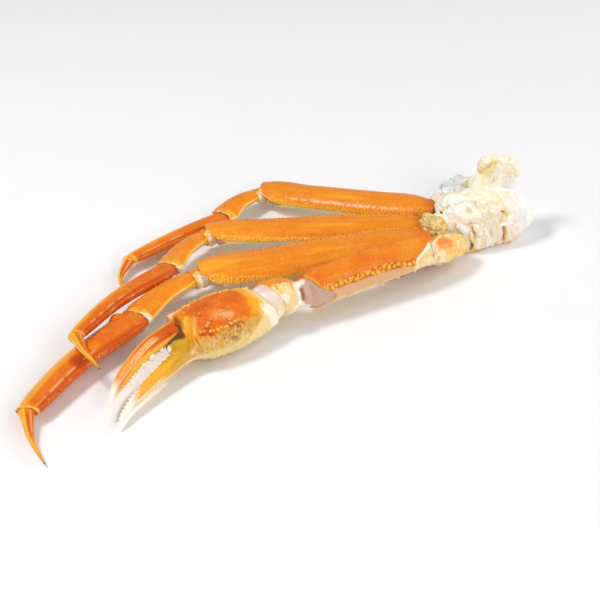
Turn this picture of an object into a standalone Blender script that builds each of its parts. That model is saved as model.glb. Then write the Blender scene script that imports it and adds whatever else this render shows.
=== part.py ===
"""Snow crab cluster: three walking legs and the claw arm of one side of a cooked snow crab, joined
at the shoulder of white meat, with a crust of ice behind it.

It lies flat, as on a table. Blender's units are metres and +Z is up, and the tables below are in
millimetres. The legs fan out towards -X, and the claw lies in front of them, on the -Y side.
Each segment of shell is one closed solid, and neighbours keep a gap of 0.3 mm.
"""

import copy
import math
import random

import bmesh
import bpy
from mathutils import Euler, Matrix, Vector, noise

MM = 0.001
GAP = 0.3  # clearance between two neighbours
UP = Vector((0.0, 0.0, 1.0))
ORIGIN = Vector((-7.4, -4.2, 0.0))  # the tables' point that becomes the part's origin

# ---------------------------------------------------------------- driving dimensions, in mm

# Each walking leg: the middle of its joints and its last tip, then each segment's full width and
# thickness. A bow is how far the middle of a segment stands out to its far side, and a lean is the
# angle in degrees by which the merus leans to the near side.
LEGS = {
    "leg_a": {
        "root": (93, 16.5, 15),
        "knee": (14.2, 91.5, 8),
        "ankle": (-14, 73.8, 7),
        "wrist": (-73.4, 53, 6),
        "tip": (-84, 27, 1.5),
        "size": {"merus": (19.5, 9.5), "carpus": (16.5, 8), "propodus": (12, 7), "dactyl": (8, 5)},
        "bow": {"merus": 0, "carpus": 3, "propodus": 1.2, "dactyl": 3},
        "lean": 9,
    },
    "leg_b": {
        "root": (86.5, 0.5, 12.5),
        "knee": (-29, 53.2, 10.5),
        "ankle": (-57.8, 24.1, 12),
        "wrist": (-118.4, -25.9, 15.8),
        "tip": (-112.6, -57.6, 14),
        "size": {"merus": (20, 10), "carpus": (15, 9), "propodus": (12, 8), "dactyl": (8, 5.5)},
        "bow": {"merus": 3, "carpus": 2.5, "propodus": 4, "dactyl": 1},
        "lean": 6,
    },
    "leg_c": {
        "root": (78, -13, 15.5),
        "knee": (-45.4, 10.5, 12),
        "ankle": (-84.2, -12.1, 9),
        "wrist": (-152, -67.3, 6.5),
        "tip": (-150.6, -105.6, 2),
        "size": {"merus": (24, 11.5), "carpus": (18, 10), "propodus": (17.5, 9), "dactyl": (8.4, 6)},
        "bow": {"merus": 1, "carpus": 2.5, "propodus": 4, "dactyl": 2.2},
        "lean": 6,
    },
}
KNEE_LENGTH = 7.0
KNEE_SHARE = (0.7, 0.88)  # of the merus's width and thickness
KNEE_ROOM = 2.8  # between a knee and its neighbours, in gaps, as their ends aren't parallel

# A form along a segment: place from 0 to 1, share of the width, share of the thickness, and shift
# to the far side as a share of half the width.
FORMS = {
    "merus": (
        (0, 0.5, 0.75, 0),
        (0.06, 0.72, 0.85, 0.06),
        (0.16, 0.94, 0.95, 0.12),
        (0.33, 1, 1, 0.03),
        (0.75, 1, 1, 0),
        (0.93, 1.04, 1.03, 0.05),
        (1, 0.88, 0.88, 0.05),
    ),
    "carpus": (
        (0, 0.66, 0.72, 0),
        (0.2, 0.82, 0.92, 0),
        (0.6, 0.9, 1, 0),
        (0.9, 1.08, 0.95, 0),
        (1, 1, 0.84, 0),
    ),
    "propodus": (
        (0, 0.92, 0.84, -0.04),
        (0.08, 1.1, 1, -0.09),
        (0.4, 1, 1, -0.02),
        (0.85, 0.84, 0.86, 0),
        (1, 0.66, 0.72, -0.05),
    ),
    "dactyl": (
        (0, 0.86, 0.95, 0),
        (0.12, 1, 1, 0),
        (0.45, 0.72, 0.72, 0),
        (0.8, 0.38, 0.42, 0),
        (1, 0.08, 0.12, 0),
    ),
    "knee": ((0, 0.86, 0.86, -0.06), (0.5, 0.82, 0.92, -0.1), (1, 0.9, 0.9, -0.06)),
    "arm_merus": (
        (0, 0.78, 0.84, 0),
        (0.2, 0.98, 1, 0),
        (0.8, 1.04, 1.1, 0),
        (0.94, 1.08, 1.2, 0),
        (1, 0.98, 1.1, 0),
    ),
    "arm_joint": ((0, 0.86, 0.86, 0), (0.5, 0.8, 0.9, 0), (1, 0.9, 0.9, 0)),
    "arm_carpus": ((0, 0.62, 0.88, 0), (0.35, 0.84, 1.04, 0), (0.8, 1, 1, 0), (1, 0.97, 0.92, 0)),
    "palm": (
        (0, 0.7, 0.78, 0),
        (0.16, 0.84, 0.92, 0),
        (0.45, 1, 1, 0),
        (0.8, 0.98, 0.92, 0),
        (1, 0.86, 0.74, 0),
    ),
    "finger": (
        (0, 1, 1, 0),
        (0.25, 0.86, 0.95, 0),
        (0.6, 0.62, 0.7, 0),
        (0.85, 0.38, 0.46, 0),
        (1, 0.1, 0.14, 0),
    ),
    "ischium": ((0, 0.86, 0.86, 0), (0.5, 1, 1, 0), (1, 0.8, 0.8, 0)),
}

# The claw arm, from the shoulder to the tips.
ARM_ROOT = (68, -26, 18)
ARM_MERUS = (17.5, 15.5)
ARM_MERUS_LEAN = 10
ARM_MERUS_LOBES = 0.1  # how far its section is from an oval to a rounded triangle
ARM_KNEE = (-3, -35.2, 15.5)
ARM_KNEE_SIZE = (15, 14)
ARM_KNEE_REACH = (3.0, 2.6)  # from its middle to the merus and to the carpus
ARM_CARPUS_END = (-18.6, -34.4, 15.5)
ARM_CARPUS_BOW = (0, 0.4, 0.5)
ARM_CARPUS = (27, 17)
ARM_WRIST = (26, 17)
PALM_START = (-24, -37.4, 14)
PALM_START_FACE = (-0.89, -0.45, 0)
PALM_END = (-67, -46.5, 13)
PALM = (34, 21.5)
PALM_LENS = 0.92
CLAW_LEAN = 15
KNUCKLE = ((-67.5, -30.2, 13.5), (5, 3.8, 4.5), 20)
FIXED_FINGER = (
    (-58, -50.5, 11),
    (-74, -59.5, 9),
    (-90, -71, 7),
    (-103, -82, 5),
    (-113, -92.6, 3),
)
FIXED_SIZE = (12, 9)
MOVING_FINGER = (
    (-70.5, -43, 16.5),
    (-86, -51.3, 15.5),
    (-98.5, -60.5, 12.5),
    (-109, -71.5, 9),
    (-114.8, -83, 5.5),
)
MOVING_SIZE = (11, 8.5)
ISCHIUM = ((70.2, -25, 16), (80, -22, 13.5), (93, -15.5, 10))
ISCHIUM_SIZE = (17, 15)

# Teeth of the fingers: (place along the finger, radius), and their angle round it in degrees.
FIXED_TEETH = (
    (0.2, 1.3),
    (0.28, 1.5),
    (0.36, 1.4),
    (0.44, 1.6),
    (0.53, 1.5),
    (0.61, 1.3),
    (0.69, 1.1),
    (0.77, 0.9),
)
FIXED_TEETH_ANGLE = 20
MOVING_TEETH = (
    (0.2, 1.6),
    (0.31, 2.2),
    (0.43, 1.8),
    (0.52, 1.3),
    (0.6, 1.2),
    (0.68, 1),
    (0.76, 0.9),
)
MOVING_TEETH_ANGLE = 200
TOOTH_HEIGHT = 0.9  # of its radius

SPINE_SIDES = 6

# Rows of small spines: first place, last place, how many, angle in degrees, radius, height.
ARM_BEADS = (0.08, 0.92, 13, 152, 1.3, 1.2)
ARM_SPINES = (0.16, 0.76, 6, 216, 1.1, 1.2)
PALM_BEADS = (0.12, 0.92, 12, 28, 1.1, 1)

# The shoulder's lumps: centre, half sizes, turn about Z in degrees.
SHOULDER = (
    ((113, 3, 14), (25, 16, 15), 0),
    ((108.5, -2.4, 5.5), (17, 11.5, 8), 10),
    ((125, -1.6, 5.5), (14.5, 10, 8), 20),
    ((101, 19, 12), (11, 14, 10), 10),
    ((102, 6, 20), (13, 14, 9), 0),
    ((118, -3, 20), (15, 10, 10), 0),
    ((133, -2, 12), (9.5, 9, 11), 20),
    ((84.5, -3, 16), (7, 8, 7), 20),
    ((112, 19, 20), (12, 6, 8), 20),
    ((121, 10, 27), (9, 7, 9), 0),
    ((126, 10, 35), (8, 5, 8), 0),
    ((121, 11, 39), (5, 4, 5), 0),
    ((132, 9, 38), (8, 4, 5.5), 0),
    ((135, 8, 30), (4.5, 4, 8), 0),
)
SHOULDER_VOXEL = 1.6
SHOULDER_TRIANGLES = 2600
SHOULDER_CRAGS = ((1.6, 9), (0.9, 4))  # (height, size) of the bumps on it

# The ice: chunks along an arc, whose middles, spread and half sizes these are, and a core.
ICE_SEED = 4
ICE_CHUNKS = 30
ICE_START = (103, 29, 12)
ICE_RUN = (14, 5, 8)
ICE_SPREAD = (2.2, 3, 4)
ICE_HALF = (1.4, 2.8)
ICE_CORE = ((109, 29, 14), (9, 4, 7), 20)

# ---------------------------------------------------------------- curves and sections


def smooth_value(table, place, column):
    """A column of a table at a place from 0 to 1, on a smooth curve through the table's rows."""
    places = [row[0] for row in table]
    values = [row[column] for row in table]
    last = len(table) - 1
    index = max(k for k in range(last) if k == 0 or places[k] <= place)
    span = places[index + 1] - places[index]

    def slope(k):
        low, high = max(k - 1, 0), min(k + 1, last)
        return (values[high] - values[low]) / (places[high] - places[low])

    s = (place - places[index]) / span
    return (
        (2 * s**3 - 3 * s**2 + 1) * values[index]
        + (s**3 - 2 * s**2 + s) * span * slope(index)
        + (3 * s**2 - 2 * s**3) * values[index + 1]
        + (s**3 - s**2) * span * slope(index + 1)
    )


def spine_point(points, place):
    """The point at a place from 0 to 1 on a smooth curve through the points."""
    count = len(points) - 1
    table = [(k / count, *points[k]) for k in range(count + 1)]
    return Vector([smooth_value(table, place, axis) for axis in (1, 2, 3)])


def bowed(start, end, bow):
    """The two ends and a middle that stands out by bow to the segment's far side."""
    far_side = (end - start).cross(UP).normalized()
    return [start.copy(), (start + end) / 2 + far_side * bow, end.copy()]


class Segment:
    """A limb segment: a smooth tube along a spine, wide to its sides and thin through its thickness."""

    def __init__(self, spine, size, form, tilt=0, faces=(None, None), lens=1.15, lobes=0, grow=0):
        self.spine = [Vector(point) for point in spine]
        self.half_width = size[0] / 2
        self.half_thick = size[1] / 2
        self.form = FORMS[form]
        self.tilt = math.radians(tilt)
        self.lens = lens
        self.lobes = lobes
        self.grow = grow
        self.length = (self.spine[-1] - self.spine[0]).length
        self.faces = [Vector(face) if face else self.tangent(end) for end, face in enumerate(faces)]

    def tangent(self, place):
        low, high = max(place - 0.01, 0), min(place + 0.01, 1)
        return (spine_point(self.spine, high) - spine_point(self.spine, low)).normalized()

    def frame(self, place):
        """Centre, far axis, top axis and half sizes of the section at a place."""
        reach = 1.2 * self.half_width / self.length
        near = max(0.0, 1 - place / reach) ** 2, max(0.0, 1 - (1 - place) / reach) ** 2
        along = self.tangent(place) * max(0.0, 1 - sum(near))
        along = (along + self.faces[0] * near[0] + self.faces[1] * near[1]).normalized()
        level = along.cross(UP).normalized()
        rise = level.cross(along)
        far = level * math.cos(self.tilt) + rise * math.sin(self.tilt)
        top = rise * math.cos(self.tilt) - level * math.sin(self.tilt)
        width = self.half_width * smooth_value(self.form, place, 1) + self.grow
        thick = self.half_thick * smooth_value(self.form, place, 2) + self.grow
        shift = self.half_width * smooth_value(self.form, place, 3)
        return spine_point(self.spine, place) + far * shift, far, top, width, thick

    def point(self, place, angle):
        """The surface point at a place, at an angle from the far side round over the top."""
        centre, far, top, width, thick = self.frame(place)
        across, high = math.cos(angle), math.sin(angle)
        high = math.copysign(abs(high) ** self.lens, high)
        radius = 1 + self.lobes * math.cos(3 * angle + math.pi / 2)
        return centre + (far * width * across + top * thick * high) * radius

    def mesh(self, name, rings=14, around=14):
        """A closed mesh with flat ends, in metres."""
        shape = bmesh.new()
        loops = []
        for ring in range(rings):
            even = ring / (rings - 1)
            place = 0.55 * even + 0.45 * (0.5 - 0.5 * math.cos(math.pi * even))
            angles = [2 * math.pi * k / around for k in range(around)]
            loops.append([shape.verts.new((self.point(place, a) - ORIGIN) * MM) for a in angles])
        for low, high in zip(loops, loops[1:]):
            for k in range(around):
                following = (k + 1) % around
                shape.faces.new((low[k], low[following], high[following], high[k]))
        shape.faces.new(loops[0])
        shape.faces.new(loops[-1])
        bmesh.ops.recalc_face_normals(shape, faces=shape.faces)
        mesh = bpy.data.meshes.new(name)
        shape.to_mesh(mesh)
        shape.free()
        return mesh

    def grown(self, amount):
        """The same segment, larger by amount all round and at both ends."""
        larger = copy.copy(self)
        larger.spine = [point.copy() for point in self.spine]
        larger.spine[0] -= self.tangent(0) * amount
        larger.spine[-1] += self.tangent(1) * amount
        larger.grow = amount
        return larger


# ---------------------------------------------------------------- Blender objects


def material(name, colour, roughness):
    made = bpy.data.materials.new(name)
    made.use_nodes = True
    shader = made.node_tree.nodes["Principled BSDF"]
    shader.inputs["Base Color"].default_value = (*colour, 1)
    shader.inputs["Roughness"].default_value = roughness
    shader.inputs["Metallic"].default_value = 0
    return made


def add_object(name, mesh, collection, surface=None):
    made = bpy.data.objects.new(name, mesh)
    collection.objects.link(made)
    if surface:
        mesh.materials.append(surface)
    return made


def apply_modifiers(body):
    """Puts the evaluated shape in place of the object's mesh and modifiers."""
    bpy.context.view_layer.update()
    graph = bpy.context.evaluated_depsgraph_get()
    mesh = bpy.data.meshes.new_from_object(body.evaluated_get(graph))
    body.modifiers.clear()
    body.data = mesh


def boolean(body, others, operation, solver="EXACT"):
    """One Boolean of the body with all the others, which are then removed."""
    group = bpy.data.collections.new(body.name + "_tools")
    bpy.context.scene.collection.children.link(group)
    for other in others:
        for old in list(other.users_collection):
            old.objects.unlink(other)
        group.objects.link(other)
    modifier = body.modifiers.new(operation, "BOOLEAN")
    modifier.operation = operation
    modifier.operand_type = "COLLECTION"
    modifier.collection = group
    modifier.solver = solver
    apply_modifiers(body)
    for other in others:
        bpy.data.objects.remove(other)
    bpy.data.collections.remove(group)


def keep_largest(body):
    """Leaves only the largest connected surface, without loose crumbs or sealed hollows."""
    shape = bmesh.new()
    shape.from_mesh(body.data)
    left = set(shape.verts)
    pieces = []
    while left:
        piece, edge = set(), [left.pop()]
        while edge:
            vertex = edge.pop()
            piece.add(vertex)
            reached = [link.other_vert(vertex) for link in vertex.link_edges]
            edge += [other for other in reached if other in left]
            left.difference_update(reached)
        pieces.append(piece)
    pieces.sort(key=len)
    bmesh.ops.delete(shape, geom=[vertex for piece in pieces[:-1] for vertex in piece], context="VERTS")
    shape.to_mesh(body.data)
    shape.free()


def primitive(name, kind, collection, placement, **sizes):
    """A closed primitive, made in mm and put in place by a matrix in mm."""
    shape = bmesh.new()
    placement = Matrix.Scale(MM, 4) @ Matrix.Translation(-ORIGIN) @ placement
    getattr(bmesh.ops, kind)(shape, matrix=placement, **sizes)
    mesh = bpy.data.meshes.new(name)
    shape.to_mesh(mesh)
    shape.free()
    return add_object(name, mesh, collection)


def spine(segment, place, angle, radius, height, collection):
    """A small spine that stands on a segment's surface, with its foot sunk in."""
    foot = segment.point(place, angle)
    out = (foot - segment.frame(place)[0]).normalized()
    sunk = 0.8 * radius
    turn = out.to_track_quat("Z", "Y").to_matrix().to_4x4()
    placement = Matrix.Translation(foot + out * (height - sunk) / 2) @ turn
    sizes = {"radius1": radius, "radius2": 0.35 * radius, "depth": height + sunk}
    sizes |= {"segments": SPINE_SIDES, "cap_ends": True}
    return primitive("spine", "create_cone", collection, placement, **sizes)


def spine_row(segment, row, collection):
    """A row of small spines along a segment."""
    first, last, count, angle, radius, height = row
    made = []
    for k in range(count):
        place = first + (last - first) * k / (count - 1)
        made.append(spine(segment, place, math.radians(angle), radius, height, collection))
    return made


def teeth(finger, table, angle, collection):
    """The teeth along a finger's inner edge."""
    made = []
    for place, radius in table:
        height = TOOTH_HEIGHT * radius
        made.append(spine(finger, place, math.radians(angle), radius, height, collection))
    return made


def lump(collection, centre, half_sizes, turn):
    """An ellipsoid."""
    placement = Matrix.Translation(centre) @ Matrix.Rotation(math.radians(turn), 4, "Z")
    placement = placement @ Matrix.Diagonal((*half_sizes, 1))
    return primitive("lump", "create_icosphere", collection, placement, subdivisions=3, radius=1)


# ---------------------------------------------------------------- the walking legs


def leg_segments(leg):
    """The five segments of one walking leg, by name."""
    root, knee, ankle, wrist, tip = (
        Vector(leg[name]) for name in ("root", "knee", "ankle", "wrist", "tip")
    )
    merus_end = knee - (knee - root).normalized() * KNEE_LENGTH / 2
    carpus_start = knee + (ankle - knee).normalized() * KNEE_LENGTH / 2
    bow = leg["bow"]
    lines = {
        "merus": bowed(root, merus_end, bow["merus"]),
        "carpus": bowed(carpus_start, ankle, bow["carpus"]),
        "propodus": bowed(ankle, wrist, bow["propodus"]),
        "dactyl": bowed(wrist, tip, bow["dactyl"]),
    }

    def direction(name, end):
        return Segment(lines[name], (1, 1), name).tangent(end)

    bend = direction("merus", 1) + direction("carpus", 0)
    knee_ends = []
    for end in (("merus", 1), ("carpus", 0)):
        knee_ends.append((direction(*end) * 1.2 + bend).normalized())
    ankle_face = (direction("carpus", 1) + direction("propodus", 0)).normalized()
    wrist_face = (direction("propodus", 1) + direction("dactyl", 0)).normalized()
    lines["carpus"][-1] -= ankle_face * GAP / 2
    lines["propodus"][0] += ankle_face * GAP / 2
    lines["propodus"][-1] -= wrist_face * GAP / 2
    lines["dactyl"][0] += wrist_face * GAP / 2
    faces = {
        "merus": (None, knee_ends[0]),
        "carpus": (knee_ends[1], ankle_face),
        "propodus": (ankle_face, wrist_face),
        "dactyl": (wrist_face, None),
    }
    made = {}
    for name, line in lines.items():
        lean = leg["lean"] if name == "merus" else 0
        made[name] = Segment(line, leg["size"][name], name, lean, faces[name])
    room = KNEE_ROOM * GAP
    knee_line = [merus_end + knee_ends[0] * room, knee, carpus_start - knee_ends[1] * room]
    knee_size = [share * size for share, size in zip(KNEE_SHARE, leg["size"]["merus"])]
    made["knee"] = Segment(knee_line, knee_size, "knee", 0, knee_ends)
    return made


def build_leg(name, segments, collection, surfaces):
    rings = {"merus": 16, "knee": 5, "carpus": 9, "propodus": 13, "dactyl": 11}
    around = {"merus": 14, "knee": 12, "carpus": 14, "propodus": 14, "dactyl": 10}
    for part, segment in segments.items():
        mesh = segment.mesh(name, rings[part], around[part])
        surface = surfaces["membrane" if part == "knee" else "shell"]
        add_object(f"{name}_{part}", mesh, collection, surface)


# ---------------------------------------------------------------- the claw arm


def arm_segments():
    """The claw arm's segments, by name."""
    knee, palm_face = Vector(ARM_KNEE), Vector(PALM_START_FACE).normalized()
    back = (Vector(ARM_ROOT) - knee).normalized()
    palm_start, carpus_end = Vector(PALM_START), Vector(ARM_CARPUS_END)
    merus_end = knee + back * ARM_KNEE_REACH[0]
    carpus_start = knee - back * ARM_KNEE_REACH[1]
    middle = (carpus_start + carpus_end) / 2 + Vector(ARM_CARPUS_BOW)
    carpus_faces = (carpus_end - carpus_start).normalized(), palm_face
    knee_line = [merus_end - back * 2 * GAP, knee, carpus_start - carpus_faces[0] * 2 * GAP]
    carpus_line = [carpus_start, middle, carpus_end]
    wrist_line = [carpus_end + palm_face * 1.5 * GAP, palm_start - palm_face * 1.5 * GAP]
    knee_faces = (-back, carpus_faces[0])
    return {
        "arm_merus": Segment(
            [ARM_ROOT, merus_end], ARM_MERUS, "arm_merus", ARM_MERUS_LEAN, lens=1, lobes=ARM_MERUS_LOBES
        ),
        "arm_knee": Segment(knee_line, ARM_KNEE_SIZE, "arm_joint", faces=knee_faces, lens=1),
        "arm_carpus": Segment(carpus_line, ARM_CARPUS, "arm_carpus", 0, carpus_faces, lens=1),
        "arm_wrist": Segment(
            wrist_line, ARM_WRIST, "arm_joint", CLAW_LEAN / 2, (palm_face, palm_face), lens=1
        ),
        "palm": Segment(
            [palm_start, PALM_END], PALM, "palm", CLAW_LEAN, (palm_face, None), lens=PALM_LENS
        ),
        "fixed": Segment(FIXED_FINGER, FIXED_SIZE, "finger", CLAW_LEAN, lens=1),
        "moving": Segment(MOVING_FINGER, MOVING_SIZE, "finger", CLAW_LEAN, lens=1),
        "arm_ischium": Segment(ISCHIUM, ISCHIUM_SIZE, "ischium", lens=1),
    }


def build_arm(parts, beside, collection, surfaces):
    """The claw arm, with room for the leg that lies beside it."""
    kinds = {
        "arm_merus": (14, 14, "shell"),
        "arm_knee": (5, 12, "membrane"),
        "arm_carpus": (9, 16, "shell"),
        "arm_wrist": (5, 16, "membrane"),
        "arm_ischium": (8, 14, "membrane"),
    }
    made = {}
    for name, (rings, around, slot) in kinds.items():
        mesh = parts[name].mesh(name, rings, around)
        made[name] = add_object(name, mesh, collection, surfaces[slot])
    beads = spine_row(parts["arm_merus"], ARM_BEADS, collection)
    beads += spine_row(parts["arm_merus"], ARM_SPINES, collection)
    boolean(made["arm_merus"], beads, "UNION")
    leg_room = add_object("cutter", beside.grown(GAP).mesh("cutter", 14, 14), collection)
    boolean(made["arm_ischium"], [leg_room], "DIFFERENCE", "MANIFOLD")

    palm_mesh = parts["palm"].mesh("claw_palm", 14, 18)
    palm = add_object("claw_palm", palm_mesh, collection, surfaces["shell"])
    pieces = [add_object("finger", parts["fixed"].mesh("finger", 14, 12), collection)]
    pieces.append(lump(collection, *KNUCKLE))
    pieces += teeth(parts["fixed"], FIXED_TEETH, FIXED_TEETH_ANGLE, collection)
    pieces += spine_row(parts["palm"], PALM_BEADS, collection)
    boolean(palm, pieces, "UNION")
    finger_mesh = parts["moving"].mesh("claw_finger", 14, 12)
    finger = add_object("claw_finger", finger_mesh, collection, surfaces["shell"])
    boolean(finger, teeth(parts["moving"], MOVING_TEETH, MOVING_TEETH_ANGLE, collection), "UNION")


# ---------------------------------------------------------------- the shoulder and the ice


def build_shoulder(neighbours, collection, surface):
    """White meat with sockets for its neighbours, and a flat underside."""
    first, *others = (lump(collection, *row) for row in SHOULDER)
    boolean(first, others, "UNION")
    first.name = "shoulder_meat"
    remesh = first.modifiers.new("even", "REMESH")
    remesh.mode = "VOXEL"
    remesh.voxel_size = SHOULDER_VOXEL * MM
    apply_modifiers(first)
    for vertex in first.data.vertices:
        place = vertex.co / MM
        rough = sum(height * noise.noise(place / size) for height, size in SHOULDER_CRAGS)
        vertex.co += vertex.normal * rough * MM
    thin = first.modifiers.new("thin", "DECIMATE")
    thin.ratio = SHOULDER_TRIANGLES / sum(len(face.vertices) - 2 for face in first.data.polygons)
    apply_modifiers(first)
    below = Matrix.Translation((110, 0, -10)) @ Matrix.Diagonal((100, 100, 10, 1))
    floor = primitive("floor", "create_cube", collection, below, size=2)
    cutters = [floor]
    for neighbour in neighbours:
        cutters.append(add_object("cutter", neighbour.grown(GAP).mesh("cutter", 12, 14), collection))
    boolean(first, cutters, "DIFFERENCE", "MANIFOLD")
    keep_largest(first)
    first.data.materials.clear()
    first.data.materials.append(surface)
    return first


def build_ice(shoulder, collection, surface):
    """A crust of small ice chunks, grown together, that leans on the back of the shoulder."""
    draw = random.Random(ICE_SEED)
    chunks = []
    for k in range(ICE_CHUNKS):
        share = k / (ICE_CHUNKS - 1)
        centre = Vector(ICE_START)
        centre += Vector((share, math.sin(3 * share), share)) * Vector(ICE_RUN)
        centre += Vector([draw.uniform(-1, 1) * size for size in ICE_SPREAD])
        turn = Euler([draw.uniform(0, 3) for _ in range(3)]).to_matrix().to_4x4()
        sizes = [draw.uniform(*ICE_HALF) for _ in range(3)]
        placement = Matrix.Translation(centre) @ turn @ Matrix.Diagonal((*sizes, 1))
        chunks.append(primitive("chunk", "create_cube", collection, placement, size=2))
    core = lump(collection, *ICE_CORE)
    core.name = "ice_crust"
    boolean(core, chunks, "UNION", "MANIFOLD")
    keep_largest(core)
    cutter = shoulder.copy()
    cutter.data = shoulder.data.copy()
    collection.objects.link(cutter)
    for vertex in cutter.data.vertices:
        vertex.co += vertex.normal * 2 * GAP * MM
    boolean(core, [cutter], "DIFFERENCE", "MANIFOLD")
    keep_largest(core)
    core.data.materials.clear()
    core.data.materials.append(surface)


def main():
    for old in list(bpy.data.objects):
        bpy.data.objects.remove(old)
    collection = bpy.data.collections.new("snow_crab_cluster")
    bpy.context.scene.collection.children.link(collection)
    surfaces = {
        "shell": material("shell", (0.80, 0.25, 0.03), 0.35),
        "membrane": material("membrane", (0.80, 0.66, 0.55), 0.4),
        "meat": material("meat", (0.90, 0.84, 0.70), 0.5),
        "ice": material("ice", (0.85, 0.90, 0.93), 0.2),
    }
    legs = {name: leg_segments(leg) for name, leg in LEGS.items()}
    for name, segments in legs.items():
        build_leg(name, segments, collection, surfaces)
    arm = arm_segments()
    build_arm(arm, legs["leg_c"]["merus"], collection, surfaces)
    neighbours = [segments["merus"] for segments in legs.values()]
    neighbours += [arm["arm_merus"], arm["arm_ischium"]]
    shoulder = build_shoulder(neighbours, collection, surfaces["meat"])
    build_ice(shoulder, collection, surfaces["ice"])


main()
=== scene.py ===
"""Looks of the snow crab cluster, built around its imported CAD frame.

Every solid is replaced by a finer piece of the same form. The segments of shell follow the same
named values as the part's source: a smooth tube along a spine, with the relief of the real shell
(bead rows, serrated edges, ridges, grooves and joint folds) raised along its normals. The shoulder,
the claw arm's first segment and the ice start from their solids, evenly meshed. Masks from 0 to 1
are kept on the vertices, and the node materials turn them into colour. Lengths are in mm. The
tables of the segments are in the layout of the source, and everything else is in the frame of the
part. Noise takes the size of its bumps and a seed.
"""

import math
import random

import bmesh
import bpy
import numpy as np
from mathutils import Euler, Matrix, Vector
from mathutils.kdtree import KDTree


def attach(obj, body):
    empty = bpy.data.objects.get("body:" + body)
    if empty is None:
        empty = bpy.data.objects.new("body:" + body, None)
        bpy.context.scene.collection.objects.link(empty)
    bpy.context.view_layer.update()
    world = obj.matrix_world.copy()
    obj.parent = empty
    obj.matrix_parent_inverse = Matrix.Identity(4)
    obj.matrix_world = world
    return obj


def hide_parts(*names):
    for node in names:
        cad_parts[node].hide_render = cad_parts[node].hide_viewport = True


MM = 0.001  # in metres
ORIGIN = np.array((-7.4, -4.2, 0.0))  # the part's origin in the layout of the source
UP = np.array((0.0, 0.0, 1.0))
GAP = 0.3  # between the segments of a leg

# ---------------------------------------------------------------- values of the part's source

LEGS = {
    "leg_a": {
        "root": (93, 16.5, 15), "knee": (14.2, 91.5, 8), "ankle": (-14, 73.8, 7),
        "wrist": (-73.4, 53, 6), "tip": (-84, 27, 1.5),
        "size": {"merus": (19.5, 9.5), "carpus": (16.5, 8), "propodus": (12, 7), "dactyl": (8, 5)},
        "bow": {"merus": 0, "carpus": 3, "propodus": 1.2, "dactyl": 3}, "lean": 9,
    },
    "leg_b": {
        "root": (86.5, 0.5, 12.5), "knee": (-29, 53.2, 10.5), "ankle": (-57.8, 24.1, 12),
        "wrist": (-118.4, -25.9, 15.8), "tip": (-112.6, -57.6, 14),
        "size": {"merus": (20, 10), "carpus": (15, 9), "propodus": (12, 8), "dactyl": (8, 5.5)},
        "bow": {"merus": 3, "carpus": 2.5, "propodus": 4, "dactyl": 1}, "lean": 6,
    },
    "leg_c": {
        "root": (78, -13, 15.5), "knee": (-45.4, 10.5, 12), "ankle": (-84.2, -12.1, 9),
        "wrist": (-152, -67.3, 6.5), "tip": (-150.6, -105.6, 2),
        "size": {"merus": (24, 11.5), "carpus": (18, 10), "propodus": (17.5, 9), "dactyl": (8.4, 6)},
        "bow": {"merus": 1, "carpus": 2.5, "propodus": 4, "dactyl": 2.2}, "lean": 6,
    },
}
KNEE_LENGTH = 7.0
KNEE_SHARE = (0.7, 0.88)  # of the width and the thickness of the merus

# The forms of the segments: place, width, thickness and sideways shift, as shares of the size.
FORMS = {
    "merus": (
        (0, 0.5, 0.75, 0), (0.06, 0.72, 0.85, 0.06), (0.16, 0.94, 0.95, 0.12), (0.33, 1, 1, 0.03),
        (0.75, 1, 1, 0), (0.93, 1.04, 1.03, 0.05), (1, 0.88, 0.88, 0.05),
    ),
    "carpus": (
        (0, 0.66, 0.72, 0), (0.2, 0.82, 0.92, 0), (0.6, 0.9, 1, 0), (0.9, 1.08, 0.95, 0),
        (1, 1, 0.84, 0),
    ),
    "propodus": (
        (0, 0.92, 0.84, -0.04), (0.08, 1.1, 1, -0.09), (0.4, 1, 1, -0.02), (0.85, 0.84, 0.86, 0),
        (1, 0.66, 0.72, -0.05),
    ),
    "dactyl": (
        (0, 0.86, 0.95, 0), (0.12, 1, 1, 0), (0.45, 0.72, 0.72, 0), (0.8, 0.38, 0.42, 0),
        (1, 0.08, 0.12, 0),
    ),
    "knee": ((0, 0.86, 0.86, -0.06), (0.5, 0.82, 0.92, -0.1), (1, 0.9, 0.9, -0.06)),
    "arm_merus": (
        (0, 0.78, 0.84, 0), (0.2, 0.98, 1, 0), (0.8, 1.04, 1.1, 0), (0.94, 1.08, 1.2, 0),
        (1, 0.98, 1.1, 0),
    ),
    "arm_joint": ((0, 0.86, 0.86, 0), (0.5, 0.8, 0.9, 0), (1, 0.9, 0.9, 0)),
    "arm_carpus": ((0, 0.62, 0.88, 0), (0.35, 0.84, 1.04, 0), (0.8, 1, 1, 0), (1, 0.97, 0.92, 0)),
    "palm": (
        (0, 0.7, 0.78, 0), (0.16, 0.84, 0.92, 0), (0.45, 1, 1, 0), (0.8, 0.98, 0.92, 0),
        (1, 0.86, 0.74, 0),
    ),
    "finger": (
        (0, 1, 1, 0), (0.25, 0.86, 0.95, 0), (0.6, 0.62, 0.7, 0), (0.85, 0.38, 0.46, 0),
        (1, 0.1, 0.14, 0),
    ),
}

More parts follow.
